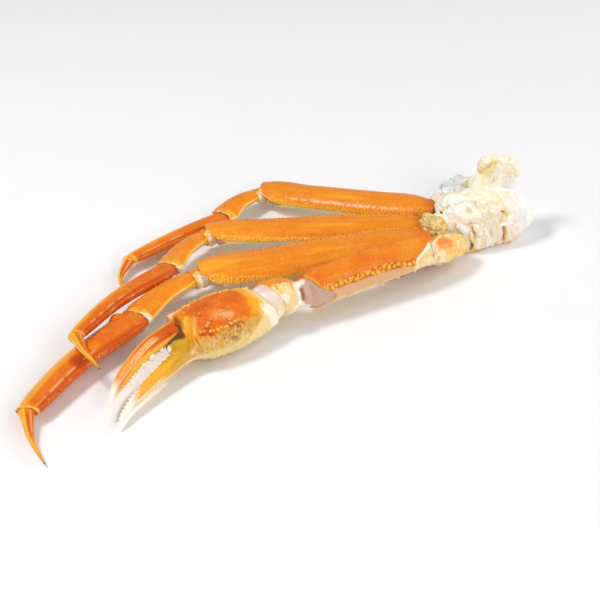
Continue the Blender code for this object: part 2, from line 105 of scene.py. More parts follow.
ARM_ROOT = (68, -26, 18)
ARM_MERUS = (17.5, 15.5)
ARM_MERUS_LEAN = 10
ARM_MERUS_LOBES = 0.1
ARM_KNEE = (-3, -35.2, 15.5)
ARM_KNEE_SIZE = (15, 14)
ARM_KNEE_REACH = (3.0, 2.6)
ARM_CARPUS_END = (-18.6, -34.4, 15.5)
ARM_CARPUS_BOW = (0, 0.4, 0.5)
ARM_CARPUS = (27, 17)
ARM_WRIST = (26, 17)
PALM_START = (-24, -37.4, 14)
PALM_START_FACE = (-0.89, -0.45, 0)
PALM_END = (-67, -46.5, 13)
PALM = (34, 21.5)
PALM_LENS = 0.92
CLAW_LEAN = 15
FIXED_FINGER = (
    (-58, -50.5, 11), (-74, -59.5, 9), (-90, -71, 7), (-103, -82, 5), (-113, -92.6, 3),
)
FIXED_SIZE = (12, 9)
MOVING_FINGER = (
    (-70.5, -43, 16.5), (-86, -51.3, 15.5), (-98.5, -60.5, 12.5), (-109, -71.5, 9), (-114.8, -83, 5.5),
)
MOVING_SIZE = (11, 8.5)
MOLARS = ((0.2, 1.6), (0.31, 2.2), (0.42, 1.8))  # place along the finger and radius

# ---------------------------------------------------------------- number tools


def ramp(value, low, high):
    """A smooth step from 0 at low to 1 at high, or down if low is the higher."""
    share = np.clip((value - low) / (high - low), 0, 1)
    return share * share * (3 - 2 * share)


def band(value, low, high, soft):
    """1 between low and high, with soft edges outside them."""
    return ramp(value, low - soft, low) * ramp(value, high + soft, high)


def peak(value, centre, width):
    """A smooth bump of 1 at the centre."""
    return np.exp(-(((value - centre) / width) ** 2))


def smooth_values(table, places, column):
    """A column of a table at places from 0 to 1, on a smooth curve through the table's rows."""
    rows = np.array(table, float)
    knots, values = rows[:, 0], rows[:, column]
    last = len(knots) - 1
    low, high = np.maximum(np.arange(last + 1) - 1, 0), np.minimum(np.arange(last + 1) + 1, last)
    slopes = (values[high] - values[low]) / (knots[high] - knots[low])
    index = np.clip(np.searchsorted(knots, places, "right") - 1, 0, last - 1)
    span = knots[index + 1] - knots[index]
    s = (places - knots[index]) / span
    return (
        (2 * s**3 - 3 * s**2 + 1) * values[index]
        + (s**3 - 2 * s**2 + s) * span * slopes[index]
        + (3 * s**2 - 2 * s**3) * values[index + 1]
        + (s**3 - s**2) * span * slopes[index + 1]
    )


def lattice(cell, seed):
    """A number from 0 to 1 for each whole-numbered cell, scattered by large primes."""
    cell = cell.astype(np.int64)
    mixed = cell[..., 0] * 73856093 ^ cell[..., 1] * 19349663 ^ cell[..., 2] * 83492791
    mixed = (mixed ^ (seed * 2654435761)) & 0xFFFFFFFF
    mixed = ((mixed ^ (mixed >> 15)) * 2246822519) & 0xFFFFFFFF
    mixed = ((mixed ^ (mixed >> 13)) * 3266489917) & 0xFFFFFFFF
    return (mixed ^ (mixed >> 16)) / 4294967295.0


def clouds(points, size, seed=0, octaves=3):
    """Smooth noise from about -1 to 1 whose largest bumps have that size."""
    total, weight, share = 0.0, 0.0, 1.0
    for octave in range(octaves):
        place = points / size * 2**octave
        base = np.floor(place)
        part = place - base
        part = part * part * (3 - 2 * part)
        value = 0.0
        for corner in range(8):
            step = np.array([corner & 1, corner >> 1 & 1, corner >> 2 & 1])
            near = np.where(step, part, 1 - part).prod(axis=-1)
            value = value + near * lattice(base + step, seed + octave)
        total = total + share * (2 * value - 1)
        weight += share
        share *= 0.5
    return total / weight


def crumbs(points, size, seed=0):
    """Cells of that size: 1 at the middle of a cell and 0 at its border, and a number per cell."""
    place = points / size
    base = np.floor(place)
    first = np.full(points.shape[:-1], 9.0)
    second = first.copy()
    number = first.copy()
    for corner in range(27):
        step = np.array([corner % 3 - 1, corner // 3 % 3 - 1, corner // 9 - 1])
        cell = base + step
        centre = np.stack([lattice(cell, seed + k) for k in range(3)], -1) + cell
        away = np.linalg.norm(place - centre, axis=-1)
        nearer = away < first
        second = np.where(nearer, first, np.minimum(second, away))
        number = np.where(nearer, lattice(cell, seed + 7), number)
        first = np.where(nearer, away, first)
    return np.clip((second - first) * 1.6, 0, 1), number


def distance_to_line(points, line):
    """The distance of each point from a line through some points."""
    line = np.array(line, float)
    best = np.full(points.shape[:-1], 1e9)
    for start, end in zip(line, line[1:]):
        run = end - start
        share = np.clip(((points - start) @ run) / (run @ run), 0, 1)
        away = np.linalg.norm(points - start - share[..., None] * run, axis=-1)
        best = np.minimum(best, away)
    return best


def read_table(table, value):
    """A table of (place, value) at some places, on straight lines between its rows."""
    return np.interp(value, *np.array(table).T)


def unit(vectors):
    """The vectors at a length of 1."""
    return vectors / np.linalg.norm(vectors, axis=-1, keepdims=True)


# ---------------------------------------------------------------- segments


END_REACH = 1.2  # how far from its end a segment turns towards its face, in half widths
SLOPE_STEP = 0.01  # for a segment's direction, as a share of its length
CAP_RINGS = ((0.9, 0.25), (0.72, 0.7), (0.45, 0.95), (0.18, 1.0))  # shares of the edge and the depth


def bowed(start, end, bow):
    """A line of three points, whose middle stands out to the far side."""
    far_side = unit(np.cross(end - start, UP))
    return [start.copy(), (start + end) / 2 + far_side * bow, end.copy()]


class Segment:
    """A limb segment: a smooth tube along a spine, with its width, its thickness and its two faces."""

    def __init__(self, spine, size, form, tilt=0, faces=(None, None), lens=1.15, lobes=0):
        self.spine = [np.array(point, float) for point in spine]
        self.half_width = size[0] / 2
        self.half_thick = size[1] / 2
        self.form = FORMS[form]
        self.tilt = math.radians(tilt)
        self.lens = lens
        self.lobes = lobes
        self.length = np.linalg.norm(self.spine[-1] - self.spine[0])
        self.faces = []
        for end, face in enumerate(faces):
            self.faces.append(self.tangents(np.array([float(end)]))[0] if face is None else face)

    def centres(self, places):
        """Points of the spine, at places from 0 to 1."""
        count = len(self.spine) - 1
        table = [(k / count, *self.spine[k]) for k in range(count + 1)]
        return np.stack([smooth_values(table, places, axis) for axis in (1, 2, 3)], -1)

    def tangents(self, places):
        """The spine's directions."""
        ahead = self.centres(np.minimum(places + SLOPE_STEP, 1))
        return unit(ahead - self.centres(np.maximum(places - SLOPE_STEP, 0)))

    def points(self, places, degrees):
        """Surface points, in the part's frame, for rows of places and columns of angles."""
        places = np.asarray(places, float)
        angles = np.radians(np.asarray(degrees, float))
        reach = END_REACH * self.half_width / self.length
        start = np.maximum(0, 1 - places / reach) ** 2
        end = np.maximum(0, 1 - (1 - places) / reach) ** 2
        along = self.tangents(places) * np.maximum(0, 1 - start - end)[:, None]
        along = unit(along + np.outer(start, self.faces[0]) + np.outer(end, self.faces[1]))
        level = unit(np.cross(along, UP))
        rise = np.cross(level, along)
        far = level * math.cos(self.tilt) + rise * math.sin(self.tilt)
        top = rise * math.cos(self.tilt) - level * math.sin(self.tilt)
        width = self.half_width * smooth_values(self.form, places, 1)
        thick = self.half_thick * smooth_values(self.form, places, 2)
        shift = self.half_width * smooth_values(self.form, places, 3)
        centre = self.centres(places) + far * shift[:, None] - ORIGIN
        across, high = np.cos(angles), np.sin(angles)
        high = np.copysign(np.abs(high) ** self.lens, high)
        radius = 1 + self.lobes * np.cos(3 * angles + math.pi / 2)
        wide = width[:, None] * across * radius
        tall = thick[:, None] * high * radius
        spots = centre[:, None] + wide[..., None] * far[:, None] + tall[..., None] * top[:, None]
        return spots, centre


class Painted:
    """Surface points with their normals, a relief along these, and masks from 0 to 1."""

    def __init__(self, points, normals):
        self.P, self.N = points, normals
        self.relief = np.zeros(points.shape[:-1])
        self.masks = {}

    def noise(self, size, seed, octaves=3):
        """Smooth noise from about -1 to 1."""
        return clouds(self.P, size, seed, octaves)

    def blots(self, size, seed, low, high, octaves=3):
        """Soft blots: 0 where the noise is low, and 1 where it is high."""
        return ramp(self.noise(size, seed, octaves), low, high)

    def near(self, point, radius):
        """A soft round spot about a point."""
        return ramp(np.linalg.norm(self.P - np.array(point, float), axis=-1), radius, 0)

    def line(self, points, width):
        """A soft line through some points."""
        return ramp(distance_to_line(self.P, points), width, 0)

    def paint(self, **layers):
        """Adds masks, which stay as high as they were where they are higher."""
        for name, mask in layers.items():
            old = self.masks.get(name, np.zeros(self.relief.shape))
            self.masks[name] = np.maximum(old, np.clip(mask, 0, 1))

    def fade(self, names, share):
        """Takes masks away where the share is high."""
        for name in names.split():
            if name in self.masks:
                self.masks[name] = self.masks[name] * (1 - np.clip(share, 0, 1))


class Grid(Painted):
    """The surface of a segment as rows of points, a step in mm apart and with so many around.

    s is the place from 0 to 1 along it, x and e are the mm from its start and from its end, and deg
    is the angle: 0 on the far side, 90 on top, 180 on the near side and 270 underneath.
    """

    def __init__(self, segment, step, around):
        self.segment = segment
        rows = max(8, int(segment.length / step))
        self.s = np.linspace(0, 1, rows)[:, None]
        self.deg = np.linspace(0, 360, around, endpoint=False)[None, :]
        spots, self.centre = segment.points(self.s[:, 0], self.deg[0])
        self.x = self.s * segment.length
        self.e = segment.length - self.x
        run = np.gradient(spots, axis=0)
        turn = np.roll(spots, -1, 1) - np.roll(spots, 1, 1)
        normals = unit(np.cross(turn, run))
        if ((spots - self.centre[:, None]) * normals).sum() < 0:
            normals = -normals
        super().__init__(spots, normals)

    def streaks(self, length, width, seed):
        """Noise drawn out along the segment."""
        angle = np.radians(self.deg)
        across = np.cos(angle) * self.segment.half_width / width + 0 * self.x
        high = np.sin(angle) * self.segment.half_thick / width + 0 * self.x
        return clouds(np.stack([self.x / length + 0 * angle, across, high], -1), 1, seed, 2)

    def drips(self, width, turn, seed):
        """Noise drawn out around the segment: width in mm along it, and degrees around it."""
        flat = 0 * self.relief
        return clouds(np.stack([self.x / width + flat, self.deg / turn + flat, flat], -1), 1, seed, 2)

    def round_bumps(self, centres, radii, heights=None):
        """Round bumps about points of the surface, as high as 1 or as their heights."""
        found = 0 * self.relief
        rows = self.P.shape[0]
        middle = self.P.mean(axis=1)
        heights = heights or [1] * len(radii)
        for centre, radius, height in zip(centres, radii, heights):
            row = int(np.argmin(np.linalg.norm(middle - centre, axis=-1)))
            reach = int(4 + 3 * (radius + self.segment.half_width * 0.5) / (self.segment.length / rows))
            low, high = max(0, row - reach), min(rows, row + reach)
            away = ((self.P[low:high] - centre) ** 2).sum(-1) / radius**2
            found[low:high] = np.maximum(found[low:high], height * np.clip(1 - away, 0, 1) ** 0.75)
        return found

    def spot(self, place, angle):
        """A point of the surface."""
        return self.segment.points([place], [angle])[0][0, 0]

    def bead_row(self, degrees, pitch, radius, draw, span=(0.03, 0.97), wander=2.5):
        """A row of round beads along the segment. degrees may be a table of (place, angle)."""
        count = max(2, int(self.segment.length * (span[1] - span[0]) / pitch))
        places = np.linspace(span[0], span[1], count)
        shifts = np.array([draw.uniform(-0.25, 0.25) for _ in places])
        places = np.clip(places + shifts * pitch / self.segment.length, 0, 1)
        angles = smooth_values(degrees, places, 1) if np.ndim(degrees) else [float(degrees)] * count
        angles = [angle + draw.uniform(-wander, wander) for angle in angles]
        spots = [self.spot(place, angle) for place, angle in zip(places, angles)]
        return self.round_bumps(spots, [radius * draw.uniform(0.75, 1.15) for _ in spots])

    def grit(self, count, draw, low, high):
        """Small grains strewn between two angles."""
        spots = [self.spot(draw.uniform(0.04, 0.96), draw.uniform(low, high)) for _ in range(count)]
        return self.drawn_bumps(spots, draw, 0.4, 0.7)

    def drawn_bumps(self, spots, draw, low, high):
        """Round bumps about points of the surface, with radii drawn between low and high."""
        return self.round_bumps(spots, [draw.uniform(low, high) for _ in spots])

    def grain(self, length, width, seed):
        """The strength of the shell's fine streaks."""
        return 0.5 + 0.9 * self.streaks(length, width, seed)

    def slide(self, amount, end):
        """Moves the surface by some mm along the direction in which an end faces."""
        self.P = self.P + amount[..., None] * self.segment.faces[end]

    def add(self, name, node, look, slot, caps=(0.6, 0.6)):
        """Adds the closed surface to the scene, in place of a CAD node."""
        add_piece(name, *self.arrays(caps), look, slot, [node])

    def arrays(self, caps):
        """Vertices, faces and masks of the closed surface. A cap sinks in by its number of mm."""
        body = self.P + self.N * self.relief[..., None]
        around = self.relief.shape[1]
        loops, ends = [body], []
        for end, sunk in zip((0, -1), caps):
            edge = body[end]
            middle = edge.mean(axis=0)
            inward = unit(self.centre[1 if end == 0 else -2] - self.centre[end])
            cap = [middle + (edge - middle) * share + inward * sunk * depth for share, depth in CAP_RINGS]
            loops = [np.stack(cap[::-1])] + loops if end == 0 else loops + [np.stack(cap)]
        points = np.concatenate(loops)
        rows = points.shape[0]
        index = np.arange(rows * around).reshape(rows, around)
        low, high = index[:-1], index[1:]
        quads = np.stack([low, np.roll(low, -1, 1), np.roll(high, -1, 1), high], -1).reshape(-1, 4)
        middles = points[0].mean(0)[None], points[-1].mean(0)[None]
        points = np.concatenate([points.reshape(-1, 3), *middles])
        for end, centre in ((0, rows * around), (-1, rows * around + 1)):
            ends.append(np.stack([index[end], np.roll(index[end], -1), np.full(around, centre)], -1))
        masks = {}
        for name, mask in self.masks.items():
            low = np.repeat(mask[:1], len(CAP_RINGS), axis=0)
            high = np.repeat(mask[-1:], len(CAP_RINGS), axis=0)
            masks[name] = np.concatenate([low, mask, high]).reshape(-1)
            masks[name] = np.append(masks[name], [mask[0, 0], mask[-1, -1]])
        return points, [quads, np.concatenate(ends)], masks


def add_piece(name, points, face_groups, masks, look, slot, nodes):
    """A mesh piece in place of its CAD nodes, from points in mm, with its masks on the vertices."""
    mesh = bpy.data.meshes.new(name)
    corners = sum(group.size for group in face_groups)
    count = sum(len(group) for group in face_groups)
    mesh.vertices.add(len(points))
    mesh.vertices.foreach_set("co", (points * MM).astype(np.float32).ravel())
    mesh.loops.add(corners)
    mesh.loops.foreach_set("vertex_index", np.concatenate([group.ravel() for group in face_groups]))
    mesh.polygons.add(count)
    sizes = np.concatenate([np.full(len(group), group.shape[1]) for group in face_groups])
    starts = np.concatenate([[0], np.cumsum(sizes)[:-1]])
    mesh.polygons.foreach_set("loop_start", starts.astype(np.int32))
    mesh.update(calc_edges=True)
    mesh.validate()
    shape = bmesh.new()
    shape.from_mesh(mesh)
    bmesh.ops.recalc_face_normals(shape, faces=shape.faces)
    shape.to_mesh(mesh)
    shape.free()
    mesh.shade_smooth()
    for key, values in masks.items():
        layer = mesh.attributes.new(key, "FLOAT", "POINT")
        layer.data.foreach_set("value", np.asarray(values, np.float32))
    piece = bpy.data.objects.new(name, mesh)
    bpy.context.scene.collection.objects.link(piece)
    mesh.materials.append(look)
    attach(piece, "root")
    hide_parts(*nodes)
    return piece


# ---------------------------------------------------------------- materials


def tone(red, green, blue):
    """A colour from its screen values, 0 to 255."""
    values = []
    for value in (red, green, blue):
        value /= 255
        values.append(value / 12.92 if value <= 0.04045 else ((value + 0.055) / 1.055) ** 2.4)
    return (*values, 1.0)


class Look:
    """A material's node tree, with short calls for the nodes that it uses."""

    def __init__(self, name, gloss):
        self.material = bpy.data.materials.new(name)
        self.material.use_nodes = True
        self.tree = self.material.node_tree
        self.shader = self.tree.nodes["Principled BSDF"]
        for key, value in gloss.items():
            self.shader.inputs[key].default_value = value
        self.place = self.tree.nodes.new("ShaderNodeTexCoord").outputs["Object"]

    def connect(self, value, socket):
        """Feeds a socket from another node, or sets it to a plain value."""
        if hasattr(value, "links"):
            self.tree.links.new(value, socket)
        else:
            socket.default_value = value

    def mask(self, name):
        """A mask of the mesh's vertices."""
        node = self.tree.nodes.new("ShaderNodeAttribute")
        node.attribute_name = name
        return node.outputs["Fac"]

    def noise(self, size, detail=2.0, seed=0.0):
        """Noise from 0 to 1 with bumps of that size in mm."""
        moved = self.tree.nodes.new("ShaderNodeVectorMath")
        moved.operation = "ADD"
        self.tree.links.new(self.place, moved.inputs[0])
        moved.inputs[1].default_value = (seed, seed * 0.7, seed * 0.3)
        node = self.tree.nodes.new("ShaderNodeTexNoise")
        self.tree.links.new(moved.outputs["Vector"], node.inputs["Vector"])
        node.inputs["Scale"].default_value = 1000 / size
        node.inputs["Detail"].default_value = detail
        return node.outputs["Fac"]

    def cells(self, size):
        """The distance from the middle of the nearest cell, with cells of that size in mm."""
        node = self.tree.nodes.new("ShaderNodeTexVoronoi")
        self.tree.links.new(self.place, node.inputs["Vector"])
        node.inputs["Scale"].default_value = 1000 / size
        return node.outputs["Distance"]

    def math(self, operation, first, second):
        """Two values put together by an operation such as MULTIPLY."""
        node = self.tree.nodes.new("ShaderNodeMath")
        node.operation = operation
        self.connect(first, node.inputs[0])
        self.connect(second, node.inputs[1])
        return node.outputs[0]

    def between(self, value, low, high, out_low=0.0, out_high=1.0):
        """A smooth step from one value at low to another at high."""
        node = self.tree.nodes.new("ShaderNodeMapRange")
        node.interpolation_type = "SMOOTHSTEP"
        for socket, number in zip(node.inputs, (value, low, high, out_low, out_high)):
            self.connect(number, socket)
        return node.outputs["Result"]

    def mix(self, share, first, second):
        """The first colour where the share is 0, and the second where it is 1."""
        node = self.tree.nodes.new("ShaderNodeMix")
        node.data_type = "RGBA"
        self.connect(share, node.inputs["Factor"])
        self.connect(first, node.inputs["A"])
        self.connect(second, node.inputs["B"])
        return node.outputs["Result"]

    def layers(self, colour, table, noise):
        """Mixes in each row of the table: a mask, how far the noise breaks its edge, and its tone."""
        uneven = self.math("SUBTRACT", noise, 0.5)
        for name, amount, values in table:
            mask = self.mask(name)
            wobble = self.math("MULTIPLY", uneven, amount)
            broken = self.math("MULTIPLY", wobble, self.between(mask, 0.02, 0.25))
            share = self.between(self.math("ADD", mask, broken), 0.08, 0.92)
            colour = self.mix(share, colour, tone(*values))
        return colour

    def finish(self, colour, height, bump, distance, roughness):
        """Sets the colour, the fine bumps (a height, their strength and mm) and the roughness."""
        self.connect(colour, self.shader.inputs["Base Color"])
        self.connect(roughness, self.shader.inputs["Roughness"])
        node = self.tree.nodes.new("ShaderNodeBump")
        node.inputs["Strength"].default_value = bump
        node.inputs["Distance"].default_value = distance * MM
        self.tree.links.new(height, node.inputs["Height"])
        self.tree.links.new(node.outputs["Normal"], self.shader.inputs["Normal"])
        return self.material


# Tones of the shell, from the first layer to the last: mask, how far noise breaks its edge, tone.
# The pale pinkish blush row is also used for painted highlights on ridges, and the brown bruise row also
# for painted shade in creases, hollows and gaps between beads.
SHELL_TONES = (
    ("bright", 0.5, (248, 168, 34)), ("deep", 0.6, None), ("red", 0.5, (200, 74, 8)),
    ("gold", 0.5, (249, 178, 46)), ("olive", 0.5, (210, 156, 36)), ("tan", 0.5, (220, 168, 84)),
    ("cream", 0.4, (244, 218, 156)), ("blush", 0.5, (246, 176, 118)), ("peach", 0.5, (226, 176, 130)),
    ("pink", 0.2, (230, 204, 188)), ("lilac", 0.2, (208, 170, 146)), ("white", 0.3, (252, 246, 230)),
    ("bruise", 0.9, (168, 108, 72)), ("mauve", 0.9, (170, 122, 84)), ("dark", 0.3, (92, 44, 18)),
)
SHELL_GLOSS = {
    "Specular IOR Level": 0.3,
    "Specular Tint": (1.0, 0.74, 0.42, 1.0),
    "Coat Weight": 0.28,
    "Coat Roughness": 0.12,
    "Subsurface Weight": 0.06,
    "Subsurface Radius": (1.0, 0.35, 0.1),
    "Subsurface Scale": 2 * MM,
}


def shell_look(name, light, body, deep):
    """Cooked shell: orange, with deeper, golden, cream, pink, white and brown places; some are painted
    light and shade.
    """
    look = Look(name, SHELL_GLOSS)
    wide, fine, grain = look.noise(9, 3), look.noise(1.1, 3, 3), look.noise(0.35, 2, 7)
    pimples = look.cells(1.5)
    colour = look.mix(look.between(wide, 0.3, 0.7), tone(*body), tone(*light))
    for share, amount in (
        (look.between(fine, 0.45, 0.75), 0.4),
        (look.between(pimples, 0.45, 0.75), 0.3),
        (look.mask("streak"), 0.45),
    ):
        colour = look.mix(look.math("MULTIPLY", share, amount), colour, tone(*deep))
    tones = [(mask, amount, values or deep) for mask, amount, values in SHELL_TONES]
    colour = look.layers(colour, tones, fine)
    height = look.math("ADD", look.math("MULTIPLY", fine, 0.6), look.math("MULTIPLY", grain, 0.4))
    height = look.math("SUBTRACT", height, look.math("MULTIPLY", pimples, 0.9))
    return look.finish(colour, height, 0.8, 0.3, look.between(fine, 0.2, 0.8, 0.3, 0.46))


# The brown bruise and dark rows are also used for painted shade in creases and hollows, and the white row
# also for painted highlights on lumps and folds.
SKIN_TONES = (
    ("cream", 0.5, (248, 230, 190)), ("yellow", 0.6, (240, 208, 122)), ("gold", 0.6, (248, 190, 88)),
    ("bright", 0.6, (240, 134, 26)), ("pink", 0.3, (230, 203, 188)), ("lilac", 0.3, (208, 170, 146)),
    ("white", 0.3, (253, 249, 240)), ("bruise", 0.6, (176, 132, 96)), ("dark", 0.4, (124, 84, 46)),
)
SKIN_GLOSS = {
    "Coat Weight": 0.3,
    "Coat Roughness": 0.2,
    "Subsurface Weight": 0.2,
    "Subsurface Radius": (1.0, 0.6, 0.4),
    "Subsurface Scale": 2.5 * MM,
}


def skin_look():
    """Joint skin: pale pinkish cream, with golden folds and brown painted shade in its creases and
    hollows.
    """
    look = Look("joint skin", SKIN_GLOSS)
    wide, fine = look.noise(5, 3), look.noise(0.9, 3, 4)
    colour = look.mix(look.between(wide, 0.3, 0.7), tone(238, 216, 196), tone(247, 236, 216))
    colour = look.layers(colour, SKIN_TONES, fine)
    height = look.math("ADD", look.math("MULTIPLY", wide, 0.6), look.math("MULTIPLY", fine, 0.5))
    return look.finish(colour, height, 0.4, 0.4, look.between(fine, 0.2, 0.8, 0.28, 0.5))


# The brown bruise row is also used for painted shade in the slits and hollows between the folds.
MEAT_TONES = (
    ("cream", 0.5, (252, 242, 214)), ("pink", 0.5, (249, 226, 198)), ("yellow", 0.7, (246, 222, 146)),
    ("gold", 0.7, (232, 192, 112)), ("olive", 0.6, (226, 194, 112)), ("bright", 0.6, (245, 170, 72)),
    ("white", 0.5, (255, 253, 248)), ("bruise", 0.7, (190, 140, 70)), ("dark", 0.4, (120, 82, 32)),
)
MEAT_GLOSS = {
    "Coat Weight": 0.12,
    "Coat Roughness": 0.3,
    "Subsurface Weight": 0.25,
    "Subsurface Radius": (1.0, 0.7, 0.45),
    "Subsurface Scale": 2 * MM,
}


def meat_look():
    """Cooked shoulder meat: white and crumbly, with cream skin, yellow folds and brown painted shade in
    its hollows.
    """
    look = Look("shoulder meat", MEAT_GLOSS)
    wide, fine, grain = look.noise(8, 3), look.noise(1.2, 4, 5), look.noise(0.45, 3, 9)
    colour = look.mix(look.between(wide, 0.3, 0.7), tone(250, 244, 230), tone(254, 251, 244))
    specks = look.math("MULTIPLY", look.between(fine, 0.5, 0.8), 0.3)
    colour = look.mix(specks, colour, tone(244, 226, 186))
    colour = look.layers(colour, MEAT_TONES, fine)
    height = look.math("ADD", look.math("MULTIPLY", fine, 0.8), look.math("MULTIPLY", grain, 0.5))
    return look.finish(colour, height, 0.8, 0.5, look.between(fine, 0.2, 0.8, 0.38, 0.6))


ICE_GLOSS = {
    "IOR": 1.31,
    "Subsurface Weight": 0.15,
    "Subsurface Radius": (1.0, 1.0, 1.0),
    "Subsurface Scale": 2 * MM,
}


def ice_look():
    """Frosted ice: translucent white crystals."""
    look = Look("ice", ICE_GLOSS)
    wide, fine = look.noise(4, 3), look.noise(0.7, 3, 2)
    colour = look.mix(look.between(wide, 0.3, 0.7), tone(238, 238, 240), tone(252, 252, 253))
    return look.finish(colour, fine, 0.2, 0.3, look.between(fine, 0.3, 0.7, 0.2, 0.5))


# ---------------------------------------------------------------- walking legs

JOINT_INSIDE = 1.2  # how far the skin of a joint runs into its neighbours, in mm
FACE_TURN = 1.2  # how much a segment's own direction counts for its face at the knee


def leg_segments(leg):
    """The five segments of one walking leg, by name, with the knee drawn out into its neighbours."""
    root, knee, ankle, wrist, tip = (
        np.array(leg[name], float) for name in ("root", "knee", "ankle", "wrist", "tip")
    )
    merus_end = knee - unit(knee - root) * KNEE_LENGTH / 2
    carpus_start = knee + unit(ankle - knee) * KNEE_LENGTH / 2
    bow = leg["bow"]
    lines = {
        "merus": bowed(root, merus_end, bow["merus"]),
        "carpus": bowed(carpus_start, ankle, bow["carpus"]),
        "propodus": bowed(ankle, wrist, bow["propodus"]),
        "dactyl": bowed(wrist, tip, bow["dactyl"]),
    }

    def direction(name, end):
        return Segment(lines[name], (1, 1), name).tangents(np.array([float(end)]))[0]

    bend = direction("merus", 1) + direction("carpus", 0)
    knee_ends = []
    for end in (("merus", 1), ("carpus", 0)):
        knee_ends.append(unit(direction(*end) * FACE_TURN + bend))
    ankle_face = unit(direction("carpus", 1) + direction("propodus", 0))
    wrist_face = unit(direction("propodus", 1) + direction("dactyl", 0))
    lines["carpus"][-1] -= ankle_face * GAP / 2
    lines["propodus"][0] += ankle_face * GAP / 2
    lines["propodus"][-1] -= wrist_face * GAP / 2
    lines["dactyl"][0] += wrist_face * GAP / 2
    faces = {
        "merus": (None, knee_ends[0]),
        "carpus": (knee_ends[1], ankle_face),
        "propodus": (ankle_face, wrist_face),
        "dactyl": (wrist_face, None),
    }
    made = {}
    for name, line in lines.items():
        lean = leg["lean"] if name == "merus" else 0
        made[name] = Segment(line, leg["size"][name], name, lean, faces[name])
    inner_ends = knee_ends[0] * JOINT_INSIDE, knee_ends[1] * JOINT_INSIDE
    knee_line = [merus_end - inner_ends[0], knee, carpus_start + inner_ends[1]]
    knee_size = [share * size for share, size in zip(KNEE_SHARE, leg["size"]["merus"])]
    made["knee"] = Segment(knee_line, knee_size, "knee", 0, knee_ends)
    return made


# For each leg: where the bead row of its near edge runs, as (place, angle); how many degrees the
# rows behind it stand back; how wide the golden band is, in degrees; the beads' height; how strong
# the far edge's serration and its deeper colour are; how far the shell reaches over the knee; how
# far the underside is drawn in, and the far side out, in mm; up to which place the near side is
# pressed against its neighbour; and how far from its end the joint skin shows, as (angle, mm).
MERUS_DETAIL = {
    "leg_a": {
        "edge": ((0, 182), (0.5, 180), (0.8, 172), (0.97, 152), (1, 150)),
        "rows": (0, 7, 14, 22, 30), "band": 28, "bead": 0.64, "saw": 0.15, "deep": 0.2, "lip": 3.0,
        "under": 0.2, "wide": 0, "pressed": -1,
        "skin": (
            (100, -1), (130, 0.5), (150, 3), (162, 8), (176, 14.5), (190, 12), (220, 6), (280, -1),
        ),
    },
    "leg_b": {
        "edge": ((0, 186), (0.4, 184), (0.62, 178), (0.84, 160), (0.97, 147), (1, 145)),
        "rows": (0, 8, 15), "band": 32, "bead": 0.72, "saw": 0.6, "deep": 0.5, "lip": 3.6, "under": 1.0,
        "wide": 0.9, "pressed": 0.55,
        "skin": (
            (100, -1), (135, -0.5), (150, 3), (160, 6.5), (174, 8), (188, 6), (210, 4), (280, -1),
        ),
    },
    "leg_c": {
        "edge": ((0, 208), (0.4, 208), (0.62, 204), (0.82, 190), (0.97, 160), (1, 157)),
        "rows": (0, 7, 14, 22, 31), "band": 42, "bead": 0.78, "saw": 0.6, "deep": 0.4, "lip": 2.3,
        "under": 0.6, "wide": 1.0, "pressed": 0.76,
        "skin": (
            (100, -1), (135, -0.5), (150, 1), (165, 3.2), (180, 7.2), (200, 9.4), (220, 7.5), (280, -1),
        ),
    },
}

SAW_ANGLES = (31, 39, 47)  # the rows of teeth on the far edge
BEAD_PITCH = 1.9

# A low ridge on the top of leg c, and a dark speck on leg a.
RIDGE_C = ((17.8, 0.2, 18.3), (30, -1.4, 18.8), (41.8, -3.7, 19.2), (55.1, -5.9, 19.5))
SPECK_A = (27.5, 96.5, 12.0)


